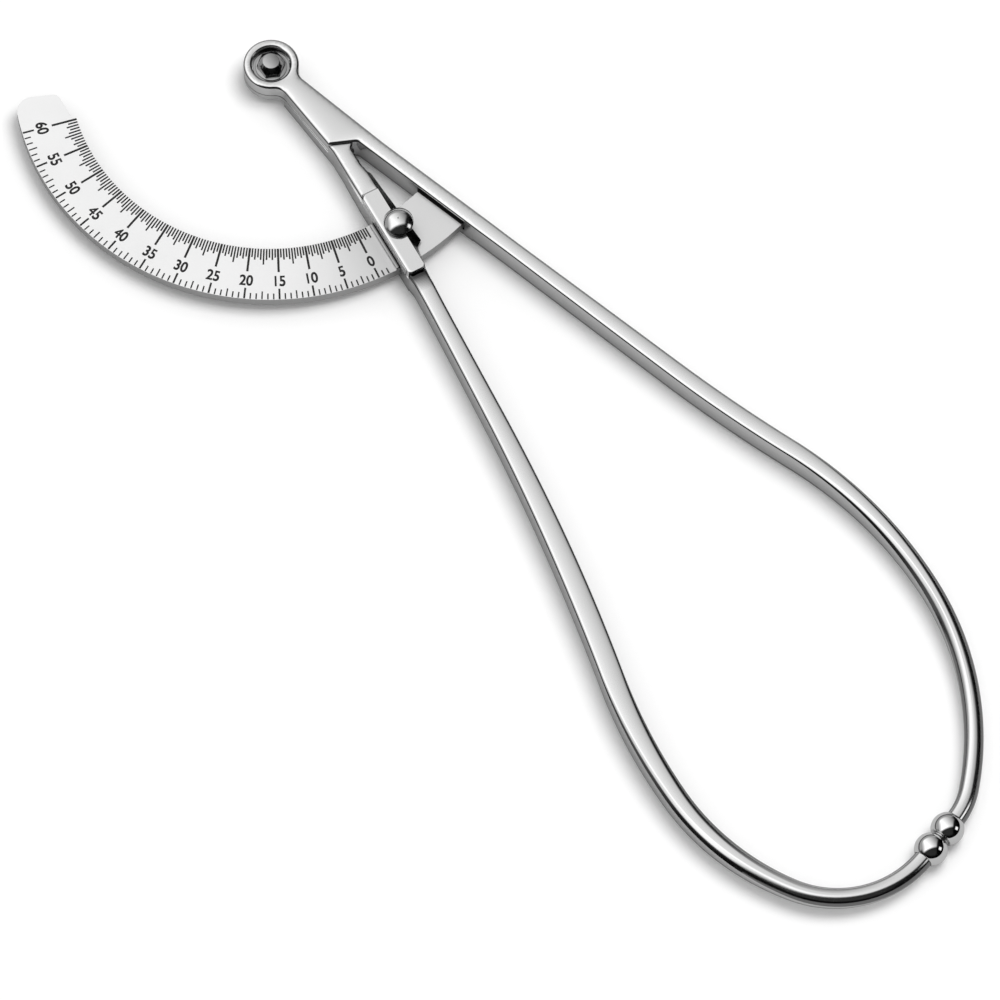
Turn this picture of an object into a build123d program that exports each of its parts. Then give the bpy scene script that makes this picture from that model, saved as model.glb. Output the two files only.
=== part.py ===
from build123d import *
from math import cos, hypot, radians, sin, sqrt
import os

# A hinged pelvimeter lying flat. Millimetres, +Z up, z = 0 is the table.
# The origin is the hinge axis, and +X points from the hinge to the closed tips.
# Arm A lies on the +Y side and carries the scale arc. Arm B lies on the -Y side
# and carries the slide, the index and the lock screw.

# Overall sizes
reach = 330.0
arm_depth = 10.8
edge_round = 0.5

# Hinge eyes and the lap joint that the two shanks make
eye_radius = 8.6
lap_heading = 5.3
lap_gap = 0.3
neck_half_width = 2.6
neck_fillet = 4.0
shoulder_station = 32.6
shoulder_half_width = 6.15
shoulder_tip_station = 37.1
shoulder_gap = 0.35
shoulder_fillet = 2.0
eye_relief_radius = 10.6
eye_relief_depth = 3.0

# Pivot
pivot_radius = 2.5
running_gap = 0.05
pivot_head_radius = 6.2
spanner_hole_radius = 0.7
spanner_hole_reach = 3.8
spanner_hole_depth = 1.3
thrust_washer_thickness = 0.4
washer_radius = 5.7
seat_washer_thickness = 0.6
spring_washer_radius = 4.9
spring_washer_thickness = 0.3
spring_washer_rise = 0.35
counterbore_radius = 6.0
counterbore_depth = 3.1
nut_flats = 7.8
nut_height = 3.7
nut_top_radius = 2.6
nut_shoulder_height = 0.7
nut_dome_rise = 0.4
nut_corner_cut = 0.3
nut_thread_depth = 2.6
nut_bore_room = 0.2

# Arm A: its shank line, its widths and its bow
a_heading = 12.2
a_offset = -0.95
a_knee_station = 44.0
a_front_length = 46.0
a_start_width = 4.6
a_full_width = 5.6
a_bends = [(499.0, 5.3), (138.6, -25.5), (99.3, -41.0), (24.0, None)]

# Arm B: its shank line, its widths and its bow
b_heading = -9.0
b_offset = 4.9
b_knee_station = 36.0
b_elbow_station = 87.0
b_elbow_radius = 60.0
b_run_heading = -12.2
b_start_width = 5.5
b_full_width = 7.2
b_bends = [(795.0, -7.0), (181.0, 14.0), (80.0, 33.7), (33.3, None)]

# Wire ends and tips
wire_diameter = 6.0
wire_round = 0.49
wire_run = 3.8
contact_heading = 105.0
ball_radius = 5.15
ball_flat = 3.6
button_radius = 2.8
button_thickness = 0.55
button_edge_round = 0.18
button_stem_radius = 1.0
button_stem_length = 1.6
tips_gap = 0.06
wire_seat = 3.4
tenon_radius = 1.6
tenon_length = 1.4
socket_gap = 0.06

# Scale arc, held in arm A and passing through arm B
arc_inner = 62.4
arc_outer = 80.0
arc_thickness = 3.6
arc_end_angle = -120.5
arc_corner_outer = 5.0
arc_corner_inner = 2.5
arc_taper_angle = -104.0
arc_tab_inner = 66.8
mortise_height = 5.4
mortise_end_gap = 0.6
mortise_web = 2.0
pin_radius = 0.8
pin_inset = 4.0
pin_bottom = 0.3
pin_cover = 0.3

# Slide on arm B: channel, bridge, index
slide_gap = 0.35
channel_floor_gap = 0.15
bridge_start = 54.2
bridge_end = 84.9
bridge_rise = 0.5
bridge_half_width = 3.07
bridge_corner = 1.6
flank_start = 44.0
flank_shoulder = 47.5
flank_shoulder_reach = 4.4
flank_bridge_reach = 4.9
flank_peak = 75.0
flank_peak_reach = 6.8
flank_step = 76.5
flank_step_reach = 4.7
flank_end_reach = 3.3
bridge_screw_radius = 1.0
bridge_screw_hole_gap = 0.1
bridge_screw_head_radius = 1.9
bridge_screw_head_height = 1.2
bridge_screw_recess = 0.15
bridge_screw_bite = 2.2
bridge_screw_inset_start = 3.6
bridge_screw_inset_end = 2.2
screw_slot_width = 0.5
screw_slot_depth = 0.5
bridge_bore_room = 0.2
slide_body_run = 3.0
scoop_radius = 14.0
scoop_depth = 2.0
scoop_offset = 2.5
index_angle = -8.7
index_thickness = 0.85
index_inner_line = -1.3
index_tuck_start = 2.0
index_tuck_end = 0.9
index_bevel = 0.7
index_edge = 0.3
index_clearance = 0.15
index_pocket_gap = 0.12
index_edge_inset = 0.2
index_inner_shoulder = 0.6
index_outer_shoulder = 0.3

# Lock screw and its pad
lock_station = 68.0
lock_line = 2.8
pad_radius = 2.0
pad_gap = 0.03
pad_thickness = 1.75
lock_lift = 0.5
pad_headroom = 0.1
lock_radius = 1.5
knob_radius = 4.65
knob_rim = 1.4
knob_neck = 0.15
knob_dome = 2.1
knob_neck_inset = 0.25
knob_clear = 0.05
knob_dimple = 0.3

# Heights that follow from the sizes above
mid_height = arm_depth / 2
arc_bottom = mid_height - arc_thickness / 2
arc_top = mid_height + arc_thickness / 2
lap_bottom = mid_height - lap_gap / 2
lap_top = mid_height + lap_gap / 2
index_bottom = arc_top + index_clearance
bridge_seat = index_bottom + index_thickness
bridge_top = arm_depth + bridge_rise
seat_height = arm_depth - counterbore_depth
half_tips = ball_flat + button_thickness + tips_gap / 2
mortise_bottom = arc_bottom
a_half_start = a_start_width / 2
mortise_floor_line = a_offset + a_half_start - mortise_web
head_height = eye_relief_depth - thrust_washer_thickness

# How the loft of each arm's bar is spaced
bar_sections = 30
taper_share = 0.45

# How far a cutting solid runs past the faces it cuts, and how wide it is sideways
cut_margin = 1.0
cut_reach = 60.0

# How near an edge's middle must be to a height to count as lying at it
level_tolerance = 1e-4


def heading_vector(angle):
    return Vector(cos(radians(angle)), sin(radians(angle)), 0)


def left_of(angle):
    return Vector(-sin(radians(angle)), cos(radians(angle)), 0)


def frame_point(angle, offset, along, across=0.0):
    """A point given along and left of a line that passes the hinge at an offset."""
    return heading_vector(angle) * along + left_of(angle) * (offset + across)


def flat(point):
    return (point.X, point.Y)


def prism(points, bottom, top):
    """An upright solid over a plan outline."""
    outline = make_face(Polyline([flat(p) for p in points], close=True))
    return extrude(Pos(0, 0, bottom) * outline, amount=top - bottom)


def rod(radius, bottom, top, centre=Vector(0, 0, 0)):
    return Pos(centre.X, centre.Y, bottom) * Cylinder(
        radius, top - bottom, align=(Align.CENTER, Align.CENTER, Align.MIN)
    )


def annulus(inner, outer, bottom, top, centre=Vector(0, 0, 0)):
    return rod(outer, bottom, top, centre) - rod(inner, bottom, top, centre)


def turned(profile, centre=Vector(0, 0, 0)):
    """A round piece on a vertical axis, from its profile of radii and heights."""
    face = make_face(Polyline([(r, 0, z) for r, z in profile], close=True))
    return Pos(centre.X, centre.Y, 0) * revolve(face, Axis.Z)


def arc_shift(heading, radius, turn):
    """How far a tangent arc moves the end of a route."""
    signed = radius if turn > 0 else -radius
    start = radians(heading)
    end = radians(heading + turn)
    return Vector(signed * (sin(end) - sin(start)), signed * (cos(start) - cos(end)), 0)


def arm_route(start, heading, bends, tip, end_heading):
    """A straight run, tangent arcs and a short straight end that reach the tip.

    The last arc turns to the end heading. The straight run's length and one
    scale on all the radii are solved so that the route ends exactly at the tip.
    """
    turns = [turn for radius, turn in bends[:-1]]
    turns.append(end_heading - heading - sum(turns))
    radii = [radius for radius, turn in bends]
    bow = Vector(0, 0, 0)
    angle = heading
    for radius, turn in zip(radii, turns):
        bow += arc_shift(angle, radius, turn)
        angle += turn
    gap = tip - heading_vector(end_heading) * wire_run - start
    along = heading_vector(heading)
    spread = along.X * bow.Y - along.Y * bow.X
    scale = (along.X * gap.Y - along.Y * gap.X) / spread
    run = (gap - bow * scale).dot(along)
    pieces = [(run, 0.0)]
    for radius, turn in zip(radii, turns):
        pieces.append((radius * scale * radians(abs(turn)), turn))
    pieces.append((wire_run, 0.0))
    return pieces


def route_length(pieces):
    return sum(length for length, turn in pieces)


def route_place(start, heading, pieces, distance):
    """The point and heading at a distance along a route."""
    point = start
    angle = heading
    left = distance
    for length, turn in pieces:
        part = min(left, length)
        share = turn * part / length
        if share:
            point = point + arc_shift(angle, length / radians(abs(turn)), share)
        else:
            point = point + heading_vector(angle) * part
        angle += share
        left -= part
        if left <= 0:
            break
    return point, angle


def ease(value):
    """A smooth step from 0 to 1."""
    value = min(max(value, 0.0), 1.0)
    return value * value * (3 - 2 * value)


def bar_face(point, angle, width, depth, rounding):
    plane = Plane(origin=point + Vector(0, 0, mid_height), x_dir=left_of(angle), z_dir=heading_vector(angle))
    return plane * RectangleRounded(width, depth, rounding)


def arm_bar(start, heading, pieces, start_width, full_width):
    """The bar beyond the shank: flat and deep at first, round wire at the tip."""
    total = route_length(pieces) - wire_run
    straight = pieces[0][0] + pieces[1][0]
    faces = []
    for step in range(bar_sections + 1):
        distance = total * step / bar_sections
        point, angle = route_place(start, heading, pieces, distance)
        widening = ease(distance / (taper_share * total))
        thinning = ease((distance - straight) / (total - straight))
        width = start_width + (full_width - start_width) * widening
        width += (wire_diameter - full_width) * thinning
        depth = arm_depth + (wire_diameter - arm_depth) * thinning
        rounding = edge_round + (wire_round * wire_diameter - edge_round) * sqrt(thinning)
        rounding = min(rounding, wire_round * min(width, depth))
        faces.append(bar_face(point, angle, width, depth, rounding))
    end = Plane(origin=point + Vector(0, 0, mid_height), z_dir=heading_vector(angle))
    return loft(faces) + extrude(end * Circle(wire_diameter / 2), amount=wire_run - wire_seat)


def lap_point(station, across):
    return frame_point(lap_heading, 0.0, station, across)


def shank_outline(side, heading, offset, width, knee, length):
    """The plan of one arm's front: eye, flared plate, shoulder and bar.

    side is +1 for arm A, whose bar leaves on the +Y side, and -1 for arm B.
    """
    half = width / 2
    neck_far = lap_point(0, side * neck_half_width)
    neck_near = lap_point(0, -side * neck_half_width)
    corner = lap_point(shoulder_station, -side * shoulder_half_width)
    inner = frame_point(heading, offset, 0, -side * half)
    shoulder_tip = lap_point(shoulder_tip_station, 0)
    slope = shoulder_tip - corner
    along = heading_vector(heading)
    gap = inner - corner
    reach_in = (gap.X * along.Y - gap.Y * along.X) / (slope.X * along.Y - slope.Y * along.X)
    crotch = corner + slope * reach_in
    end_near = frame_point(heading, offset, length, -side * half)
    end_far = frame_point(heading, offset, length, side * half)
    far_knee = frame_point(heading, offset, knee, side * half)
    points = [neck_near, corner, crotch, end_near, end_far, far_knee, neck_far]
    plate = make_face(Polyline([flat(p) for p in points], close=True))
    plate = fillet(nearest_corner(plate, crotch), shoulder_fillet)
    outline = plate + Circle(eye_radius)
    necks = [v for v in outline.vertices() if abs(hypot(v.X, v.Y) - eye_radius) < edge_round]
    return fillet(necks, neck_fillet)


def nearest_corner(sketch, point):
    return min(sketch.vertices(), key=lambda v: hypot(v.X - point.X, v.Y - point.Y))


def round_rims(solid, bottom, top, end):
    """Rounds the edges that run round the lower and upper faces, but not where the bar goes on."""
    rims = []
    for level in (bottom, top):
        rims += [e for e in solid.edges() if abs(e.center().Z - level) < level_tolerance]
    rims = [e for e in rims if hypot(e.center().X - end.X, e.center().Y - end.Y) > edge_round]
    return fillet(rims, edge_round)


def lap_cut(side, bottom, top):
    """What the other arm's shank takes out of this one, up to its shoulder."""
    slant = (shoulder_tip_station - shoulder_station) / shoulder_half_width
    tip = shoulder_tip_station + shoulder_gap
    points = [
        lap_point(-cut_reach, -side * cut_reach),
        lap_point(tip, -side * cut_reach),
        lap_point(tip, 0),
        lap_point(tip - cut_reach * slant, side * cut_reach),
        lap_point(-cut_reach, side * cut_reach),
    ]
    return prism(points, bottom, top)


def bored_eye(bottom, top):
    return rod(pivot_radius + running_gap, bottom, top)


a_start = frame_point(a_heading, a_offset, a_front_length)
a_tip = Vector(reach, 0, 0) + heading_vector(contact_heading) * half_tips
a_pieces = arm_route(a_start, a_heading, a_bends, a_tip, contact_heading - 180)

b_elbow = frame_point(b_heading, b_offset, b_elbow_station)
b_turn = b_run_heading - b_heading
b_start = b_elbow + arc_shift(b_heading, b_elbow_radius, b_turn)
b_tip = Vector(reach, 0, 0) - heading_vector(contact_heading) * half_tips
b_pieces = arm_route(b_start, b_run_heading, b_bends, b_tip, contact_heading)
b_elbow_piece = (b_elbow_radius * radians(abs(b_turn)), b_turn)


def tenon(tip, heading):
    """The reduced end of the wire, which is pressed into the ball."""
    direction = heading_vector(heading)
    base = tip - direction * wire_seat + Vector(0, 0, mid_height)
    plane = Plane(origin=base, z_dir=direction)
    return extrude(plane * Circle(tenon_radius), amount=tenon_length)


def make_arm_a():
    outline = shank_outline(1, a_heading, a_offset, a_start_width, a_knee_station, a_front_length)
    front = round_rims(extrude(outline, amount=arm_depth), 0, arm_depth, a_start)
    front -= lap_cut(1, -cut_margin, lap_top)
    front -= rod(counterbore_radius, seat_height, arm_depth + cut_margin)
    front -= bored_eye(lap_top - cut_margin, seat_height + cut_margin)
    bar = arm_bar(a_start, a_heading, a_pieces, a_start_width, a_full_width)
    arm = front + bar + tenon(a_tip, contact_heading - 180)
    arm -= mortise()
    for place in pin_places():
        arm -= rod(pin_radius, -cut_margin, mortise_bottom + cut_margin, place)
    return arm


def mortise():
    """The slot in arm A's inner side that the arc's root enters."""
    near = arc_inner - mortise_end_gap
    far = arc_outer + mortise_end_gap
    floor = mortise_floor_line - a_offset
    points = [
        frame_point(a_heading, a_offset, near, -cut_reach),
        frame_point(a_heading, a_offset, far, -cut_reach),
        frame_point(a_heading, a_offset, far, floor),
        frame_point(a_heading, a_offset, near, floor),
    ]
    return prism(points, mortise_bottom, mortise_bottom + mortise_height)


def pin_places():
    inset = mortise_floor_line - a_offset
    across = (inset - a_half_start) / 2
    return [
        frame_point(a_heading, a_offset, arc_inner + pin_inset, across),
        frame_point(a_heading, a_offset, arc_outer - pin_inset, across),
    ]


def make_scale_arc():
    """A flat ring segment about the hinge, with a rounded free end."""
    ring = Circle(arc_outer) - Circle(arc_inner)
    wedge_reach = arc_outer + 2 * cut_reach
    root_line = mortise_floor_line
    root_near = frame_point(a_heading, root_line, 0)
    root_far = frame_point(a_heading, root_line, wedge_reach)
    below = heading_vector(arc_end_angle / 2) * wedge_reach
    free = heading_vector(arc_end_angle) * wedge_reach
    wedge = make_face(Polyline([flat(p) for p in (root_near, root_far, below, free)], close=True))
    taper_start = heading_vector(arc_taper_angle) * arc_inner
    free_outer = heading_vector(arc_end_angle) * arc_outer
    free_inner = heading_vector(arc_end_angle) * arc_tab_inner
    beyond = taper_start + (free_inner - taper_start) * 2
    taper = make_face(Polyline([(0, 0), flat(taper_start), flat(beyond)], close=True))
    segment = (ring & wedge) - taper
    segment = fillet(nearest_corner(segment, free_outer), arc_corner_outer)
    segment = fillet(nearest_corner(segment, free_inner), arc_corner_inner)
    arc = extrude(Pos(0, 0, arc_bottom) * segment, amount=arc_thickness)
    for place in pin_places():
        arc -= rod(pin_radius, arc_bottom - cut_margin, arc_top - pin_cover, place)
    return arc


def make_arc_pins():
    return [rod(pin_radius, pin_bottom, arc_top - pin_cover, place) for place in pin_places()]


def b_point(station, across=0.0):
    return frame_point(b_heading, b_offset, station, across)


def flank_points():
    """The swollen inner side of arm B round the channel, in plan."""
    return [
        (flank_start, b_start_width / 2),
        (flank_shoulder, flank_shoulder_reach),
        (bridge_start, flank_bridge_reach),
        (flank_peak, flank_peak_reach),
        (flank_step, flank_step_reach),
        (bridge_end, flank_end_reach),
    ]


def make_slide_body():
    """The part of arm B that the arc passes through, up to the bridge's seat."""
    left = -b_start_width / 2
    outline = [b_point(flank_start, left)]
    outline.append(b_point(bridge_start, -bridge_half_width))
    outline.append(b_point(bridge_end, -bridge_half_width))
    outline.append(b_point(bridge_end + slide_body_run, left))
    outline.append(b_point(bridge_end + slide_body_run, -left))
    outline += [b_point(u, v) for u, v in reversed(flank_points())]
    return prism(outline, 0, bridge_seat)


def make_flank_wedge():
    """The bevel that runs from arm B's bar into the bridge's flank."""
    top_edge = b_start_width / 2
    sections = []
    for station, reach_out in flank_points()[:3]:
        section = [(0.0, bridge_seat), (reach_out, bridge_seat), (top_edge, arm_depth), (0.0, arm_depth)]
        sections.append((station, section))
    first, second, last = sections
    return ruled_span(*first, *second) + ruled_span(*second, *last)


def ruled_span(start, start_section, end, end_section):
    """A straight-sided span of arm B between two upright sections."""
    wires = []
    for station, section in ((start, start_section), (end, end_section)):
        corners = [b_point(station, v) + Vector(0, 0, z) for v, z in section]
        wires.append(make_face(Polyline(corners, close=True)))
    return loft(wires, ruled=True)


def flank_section(reach_out, bottom):
    return [
        (-bridge_half_width, bottom),
        (reach_out, bottom),
        (bridge_half_width, bridge_top),
        (-bridge_half_width, bridge_top),
    ]


def make_elbow():
    """The short bend of arm B just past the bridge."""
    faces = []
    length = b_elbow_piece[0]
    for share in (0.0, 0.5, 1.0):
        point, angle = route_place(b_elbow, b_heading, [b_elbow_piece], share * length)
        faces.append(bar_face(point, angle, b_start_width, arm_depth, edge_round))
    return loft(faces)


def scoop():
    """The hollow across arm B's top at the bridge's end."""
    centre = b_point(bridge_end + scoop_offset) + Vector(0, 0, arm_depth + scoop_radius - scoop_depth)
    plane = Plane(origin=centre, z_dir=left_of(b_heading))
    return extrude(plane * Circle(scoop_radius), amount=arm_depth, both=True)


def channel(bottom, top):
    return annulus(arc_inner - slide_gap, arc_outer + slide_gap, bottom, top)


def channel_zone():
    """Keeps the channel's ring to arm B."""
    return prism(bridge_span(), -cut_margin, bridge_top + cut_margin)


def bridge_span():
    """A wide strip across arm B, from the bridge's start to its end."""
    return [
        b_point(bridge_start, -cut_reach),
        b_point(bridge_end, -cut_reach),
        b_point(bridge_end, cut_reach),
        b_point(bridge_start, cut_reach),
    ]


def bridge_screw_places():
    return [
        b_point(bridge_start + bridge_screw_inset_start),
        b_point(bridge_end - bridge_screw_inset_end),
    ]


def make_arm_b():
    outline = shank_outline(-1, b_heading, b_offset, b_start_width, b_knee_station, b_elbow_station)
    front = round_rims(extrude(outline, amount=arm_depth), 0, arm_depth, b_elbow)
    front -= lap_cut(-1, lap_bottom, arm_depth + cut_margin)
    front += make_slide_body() + make_flank_wedge()
    front -= prism(bridge_span(), bridge_seat, arm_depth + cut_margin)
    front -= channel(arc_bottom - channel_floor_gap, arm_depth) & channel_zone()
    front -= rod(eye_relief_radius, -cut_margin, eye_relief_depth)
    front -= bored_eye(-cut_margin, arm_depth)
    bar = arm_bar(b_start, b_run_heading, b_pieces, b_start_width, b_full_width)
    arm = front + make_elbow() + bar + tenon(b_tip, contact_heading)
    arm -= scoop()
    arm -= index_blank(index_pocket_gap)
    for place in bridge_screw_places():
        arm -= rod(bridge_screw_radius + bridge_screw_hole_gap, -cut_margin, bridge_seat + cut_margin, place)
        arm -= screw_head(place, bridge_screw_hole_gap, -cut_margin)
    return arm


def screw_head(place, gap=0.0, bottom=bridge_screw_recess):
    """A countersunk head just inside arm B's underside. Its seat is wider and runs out below."""
    wide = bridge_screw_head_radius + gap
    narrow = bridge_screw_radius + gap
    top = bridge_screw_recess + bridge_screw_head_height
    profile = [(0, bottom), (wide, bottom), (wide, bridge_screw_recess), (narrow, top), (0, top)]
    return turned(list(dict.fromkeys(profile)), place)


def make_bridge_screws():
    screws = []
    for place in bridge_screw_places():
        start = bridge_screw_recess + bridge_screw_head_height
        screw = screw_head(place) + rod(bridge_screw_radius, start, bridge_seat + bridge_screw_bite, place)
        slot_length = 2 * (bridge_screw_head_radius + cut_margin)
        slot = Box(slot_length, screw_slot_width, 2 * screw_slot_depth)
        screw -= Pos(place.X, place.Y, bridge_screw_recess) * slot
        screws.append(screw)
    return screws


def bridge_plan():
    """The bridge's outline in plan, with rounded corners."""
    corners = [(bridge_start, -bridge_half_width), (bridge_end, -bridge_half_width)]
    corners += list(reversed(flank_points()[2:]))
    points = [b_point(u, v) for u, v in corners]
    plan = make_face(Polyline([flat(p) for p in points], close=True))
    for place in (points[0], points[1], points[2]):
        plan = fillet(nearest_corner(plan, place), bridge_corner)
    return plan


def make_bridge_plate():
    sections = [(station, flank_section(reach_out, bridge_seat)) for station, reach_out in flank_points()[2:]]
    first, second, third, last = sections
    plate = ruled_span(*first, *second) + ruled_span(*second, *third) + ruled_span(*third, *last)
    plate &= extrude(Pos(0, 0, bridge_seat) * bridge_plan(), amount=bridge_top - bridge_seat)
    edge = -bridge_half_width
    above = bridge_top + cut_margin
    bevel = [
        (edge - cut_margin, bridge_top - edge_round - cut_margin),
        (edge + edge_round + cut_margin, above),
        (edge - cut_margin, above),
    ]
    plate -= ruled_span(bridge_start - cut_margin, bevel, bridge_end + cut_margin, bevel)
    lock = b_point(lock_station, lock_line)
    below = bridge_seat - cut_margin
    plate -= rod(pad_radius + running_gap, below, pad_top() + lock_lift + pad_headroom, lock)
    plate -= rod(lock_radius + running_gap, bridge_seat, above, lock)
    for place in bridge_screw_places():
        plate -= rod(bridge_screw_radius, below, bridge_seat + bridge_screw_bite + bridge_bore_room, place)
    return plate


def index_blank(gap=0.0):
    """The index plate's plan: tucked under the bridge, with a radial reading edge."""
    edge_near = heading_vector(index_angle) * (arc_inner + gap + index_edge_inset)
    edge_far = heading_vector(index_angle) * (arc_outer - gap - index_edge_inset)
    shelf = -bridge_half_width
    start = arc_inner - index_tuck_start - gap
    end = arc_outer + slide_gap + index_tuck_end + gap
    points = [
        b_point(start, index_inner_line + gap),
        b_point(end, index_inner_line + gap),
        b_point(end, shelf + edge_round - gap),
        b_point(arc_outer - index_outer_shoulder, shelf + edge_round - gap),
        edge_far,
        edge_near,
        b_point(arc_inner + index_inner_shoulder, shelf + edge_round - gap),
        b_point(start, shelf + edge_round - gap),
    ]
    return prism(points, index_bottom - gap, bridge_seat)


def make_index_plate():
    """A thin plate whose outer edge is bevelled down to the scale."""
    near = heading_vector(index_angle) * (arc_inner - index_tuck_start - cut_margin)
    far = heading_vector(index_angle) * (arc_outer + index_tuck_end + cut_margin)
    out = left_of(index_angle)
    low = index_bottom + index_edge
    slope = (bridge_seat - low) / index_bevel
    corners = []
    for base in (near, far):
        outer = base - out * cut_margin + Vector(0, 0, low - slope * cut_margin)
        inner = base + out * index_bevel + Vector(0, 0, bridge_seat)
        top = base - out * cut_margin + Vector(0, 0, bridge_seat + cut_margin)
        lift = base + out * index_bevel + Vector(0, 0, bridge_seat + cut_margin)
        corners.append(make_face(Polyline([outer, inner, lift, top], close=True)))
    return index_blank() - loft(corners, ruled=True)


def pad_bottom():
    return arc_top + pad_gap


def pad_top():
    return pad_bottom() + pad_thickness


def make_pressure_pad():
    return rod(pad_radius, pad_bottom(), pad_top(), b_point(lock_station, lock_line))


def make_lock_screw():
    """A domed head on a rim and a threaded stem, all on one axis."""
    base = bridge_top + knob_clear
    rim_top = base + knob_rim
    neck_top = rim_top + knob_neck
    neck = knob_radius - knob_neck_inset
    outline = [
        (0, pad_top()),
        (lock_radius, pad_top()),
        (lock_radius, base),
        (knob_radius, base),
        (knob_radius, rim_top),
        (neck, rim_top),
        (neck, neck_top),
    ]
    side = Polyline([(r, 0, z) for r, z in outline + [(knob_radius, neck_top)]])
    crown = neck_top + knob_dome
    dome_radius = (knob_radius**2 + knob_dome**2) / (2 * knob_dome)
    half_way = knob_radius / 2
    half_height = crown - dome_radius + sqrt(dome_radius**2 - half_way**2)
    dome = ThreePointArc((knob_radius, 0, neck_top), (half_way, 0, half_height), (0, 0, crown))
    axis_line = Line((0, 0, crown), (0, 0, pad_top()))
    face = make_face([*side.edges(), dome.edge(), axis_line.edge()])
    place = b_point(lock_station, lock_line)
    dimple = Pos(0, 0, crown) * Sphere(knob_dimple)
    return Pos(place.X, place.Y, 0) * (revolve(face, Axis.Z) - dimple)


def make_pivot_screw():
    top = nut_base() + nut_thread_depth - nut_bore_room
    head = turned(
        [
            (0, 0),
            (pivot_head_radius - edge_round, 0),
            (pivot_head_radius, edge_round),
            (pivot_head_radius, head_height),
            (0, head_height),
        ]
    )
    screw = head + rod(pivot_radius, head_height, top)
    for side in (-1, 1):
        place = Vector(0, side * spanner_hole_reach, 0)
        screw -= rod(spanner_hole_radius, -cut_margin, spanner_hole_depth, place)
    return screw


def make_thrust_washer():
    return annulus(pivot_radius + running_gap, washer_radius, head_height, eye_relief_depth)


def make_friction_washer():
    return annulus(pivot_radius + running_gap, eye_radius - edge_round, lap_bottom, lap_top)


def make_seat_washer():
    top = seat_height + seat_washer_thickness
    return annulus(pivot_radius + running_gap, washer_radius, seat_height, top)


def make_spring_washer():
    """A dished washer that keeps the hinge lightly loaded."""
    low = seat_height + seat_washer_thickness
    inner = pivot_radius + running_gap
    rise = spring_washer_rise
    thick = spring_washer_thickness
    rim = [(spring_washer_radius, low), (spring_washer_radius, low + thick)]
    return turned(rim + [(inner, low + thick + rise), (inner, low + rise)])


def nut_base():
    return seat_height + seat_washer_thickness + spring_washer_thickness + spring_washer_rise


def make_pivot_nut():
    """A closed nut: six flats, a steep chamfer and a low dome."""
    base = nut_base()
    corner = nut_flats / sqrt(3)
    chamfer_top = base + nut_height - nut_dome_rise
    prism_part = extrude(Pos(0, 0, base) * RegularPolygon(corner, 6), amount=nut_height)
    wide = corner + nut_corner_cut
    shoulder = base + nut_shoulder_height
    profile = [(0, base), (wide, base), (wide, shoulder), (nut_top_radius, chamfer_top)]
    half_way_rise = nut_dome_rise * (1 - 0.5**2)
    profile += [(nut_top_radius / 2, chamfer_top + half_way_rise), (0, base + nut_height)]
    envelope = turned(profile)
    return (prism_part & envelope) - rod(pivot_radius, base - cut_margin, base + nut_thread_depth)


def make_tip_ball(tip, heading, to_contact):
    """A ball drilled for the wire and its tenon, with a flat for the button."""
    centre = tip + Vector(0, 0, mid_height)
    inward = heading_vector(heading)
    ball = Pos(centre.X, centre.Y, centre.Z) * Sphere(ball_radius)
    socket = Plane(origin=centre - inward * wire_seat, z_dir=-inward)
    wire_hole_radius = wire_diameter / 2 + socket_gap
    ball -= extrude(socket * Circle(wire_hole_radius), amount=2 * ball_radius)
    drilled = Plane(origin=centre - inward * wire_seat, z_dir=inward)
    ball -= extrude(drilled * Circle(tenon_radius), amount=tenon_length)
    out = heading_vector(to_contact)
    cap = Plane(origin=centre + out * ball_flat, z_dir=out)
    ball -= extrude(cap * Circle(2 * ball_radius), amount=ball_radius)
    ball -= extrude(cap * Circle(button_stem_radius), amount=-button_stem_length)
    return ball


def make_tip_button(tip, to_contact):
    out = heading_vector(to_contact)
    centre = tip + Vector(0, 0, mid_height)
    cap = Plane(origin=centre + out * ball_flat, z_dir=out)
    disc = extrude(cap * Circle(button_radius), amount=button_thickness)
    disc = fillet(disc.edges().sort_by(lambda e: e.center().dot(out))[-1], button_edge_round)
    return disc + extrude(cap * Circle(button_stem_radius), amount=-button_stem_length)


def solids_of(shape):
    if isinstance(shape, (list, tuple)):
        return [solid for item in shape for solid in item.solids()]
    return list(shape.solids())


def save(name, shape):
    solids = solids_of(shape)
    piece = solids[0] if len(solids) == 1 else Compound(children=solids)
    export_step(piece, f"parts/{name}.step")
    box = piece.bounding_box()
    volume = sum(s.volume for s in solids)
    print(f"{name}: {len(solids)} solid, {volume:.1f} mm3, z {box.min.Z:.2f} to {box.max.Z:.2f}")


def main():
    os.makedirs("parts", exist_ok=True)
    away = contact_heading - 180
    save("arm_a", make_arm_a())
    save("arm_b", make_arm_b())
    save("scale_arc", make_scale_arc())
    save("arc_pins", make_arc_pins())
    save("bridge_plate", make_bridge_plate())
    save("bridge_screws", make_bridge_screws())
    save("index_plate", make_index_plate())
    save("pressure_pad", make_pressure_pad())
    save("lock_screw", make_lock_screw())
    save("pivot_screw", make_pivot_screw())
    save("thrust_washer", make_thrust_washer())
    save("friction_washer", make_friction_washer())
    save("seat_washer", make_seat_washer())
    save("spring_washer", make_spring_washer())
    save("pivot_nut", make_pivot_nut())
    save("tip_ball_a", make_tip_ball(a_tip, away, away))
    save("tip_ball_b", make_tip_ball(b_tip, contact_heading, contact_heading))
    save("tip_button_a", make_tip_button(a_tip, away))
    save("tip_button_b", make_tip_button(b_tip, contact_heading))


main()
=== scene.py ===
"""The looks of a hinged pelvimeter: polished arms, engraved arc, reading bridge, lock screw, ball tips."""

from math import asin, atan2, ceil, cos, cosh, degrees, pi, radians, sin, sqrt

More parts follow.
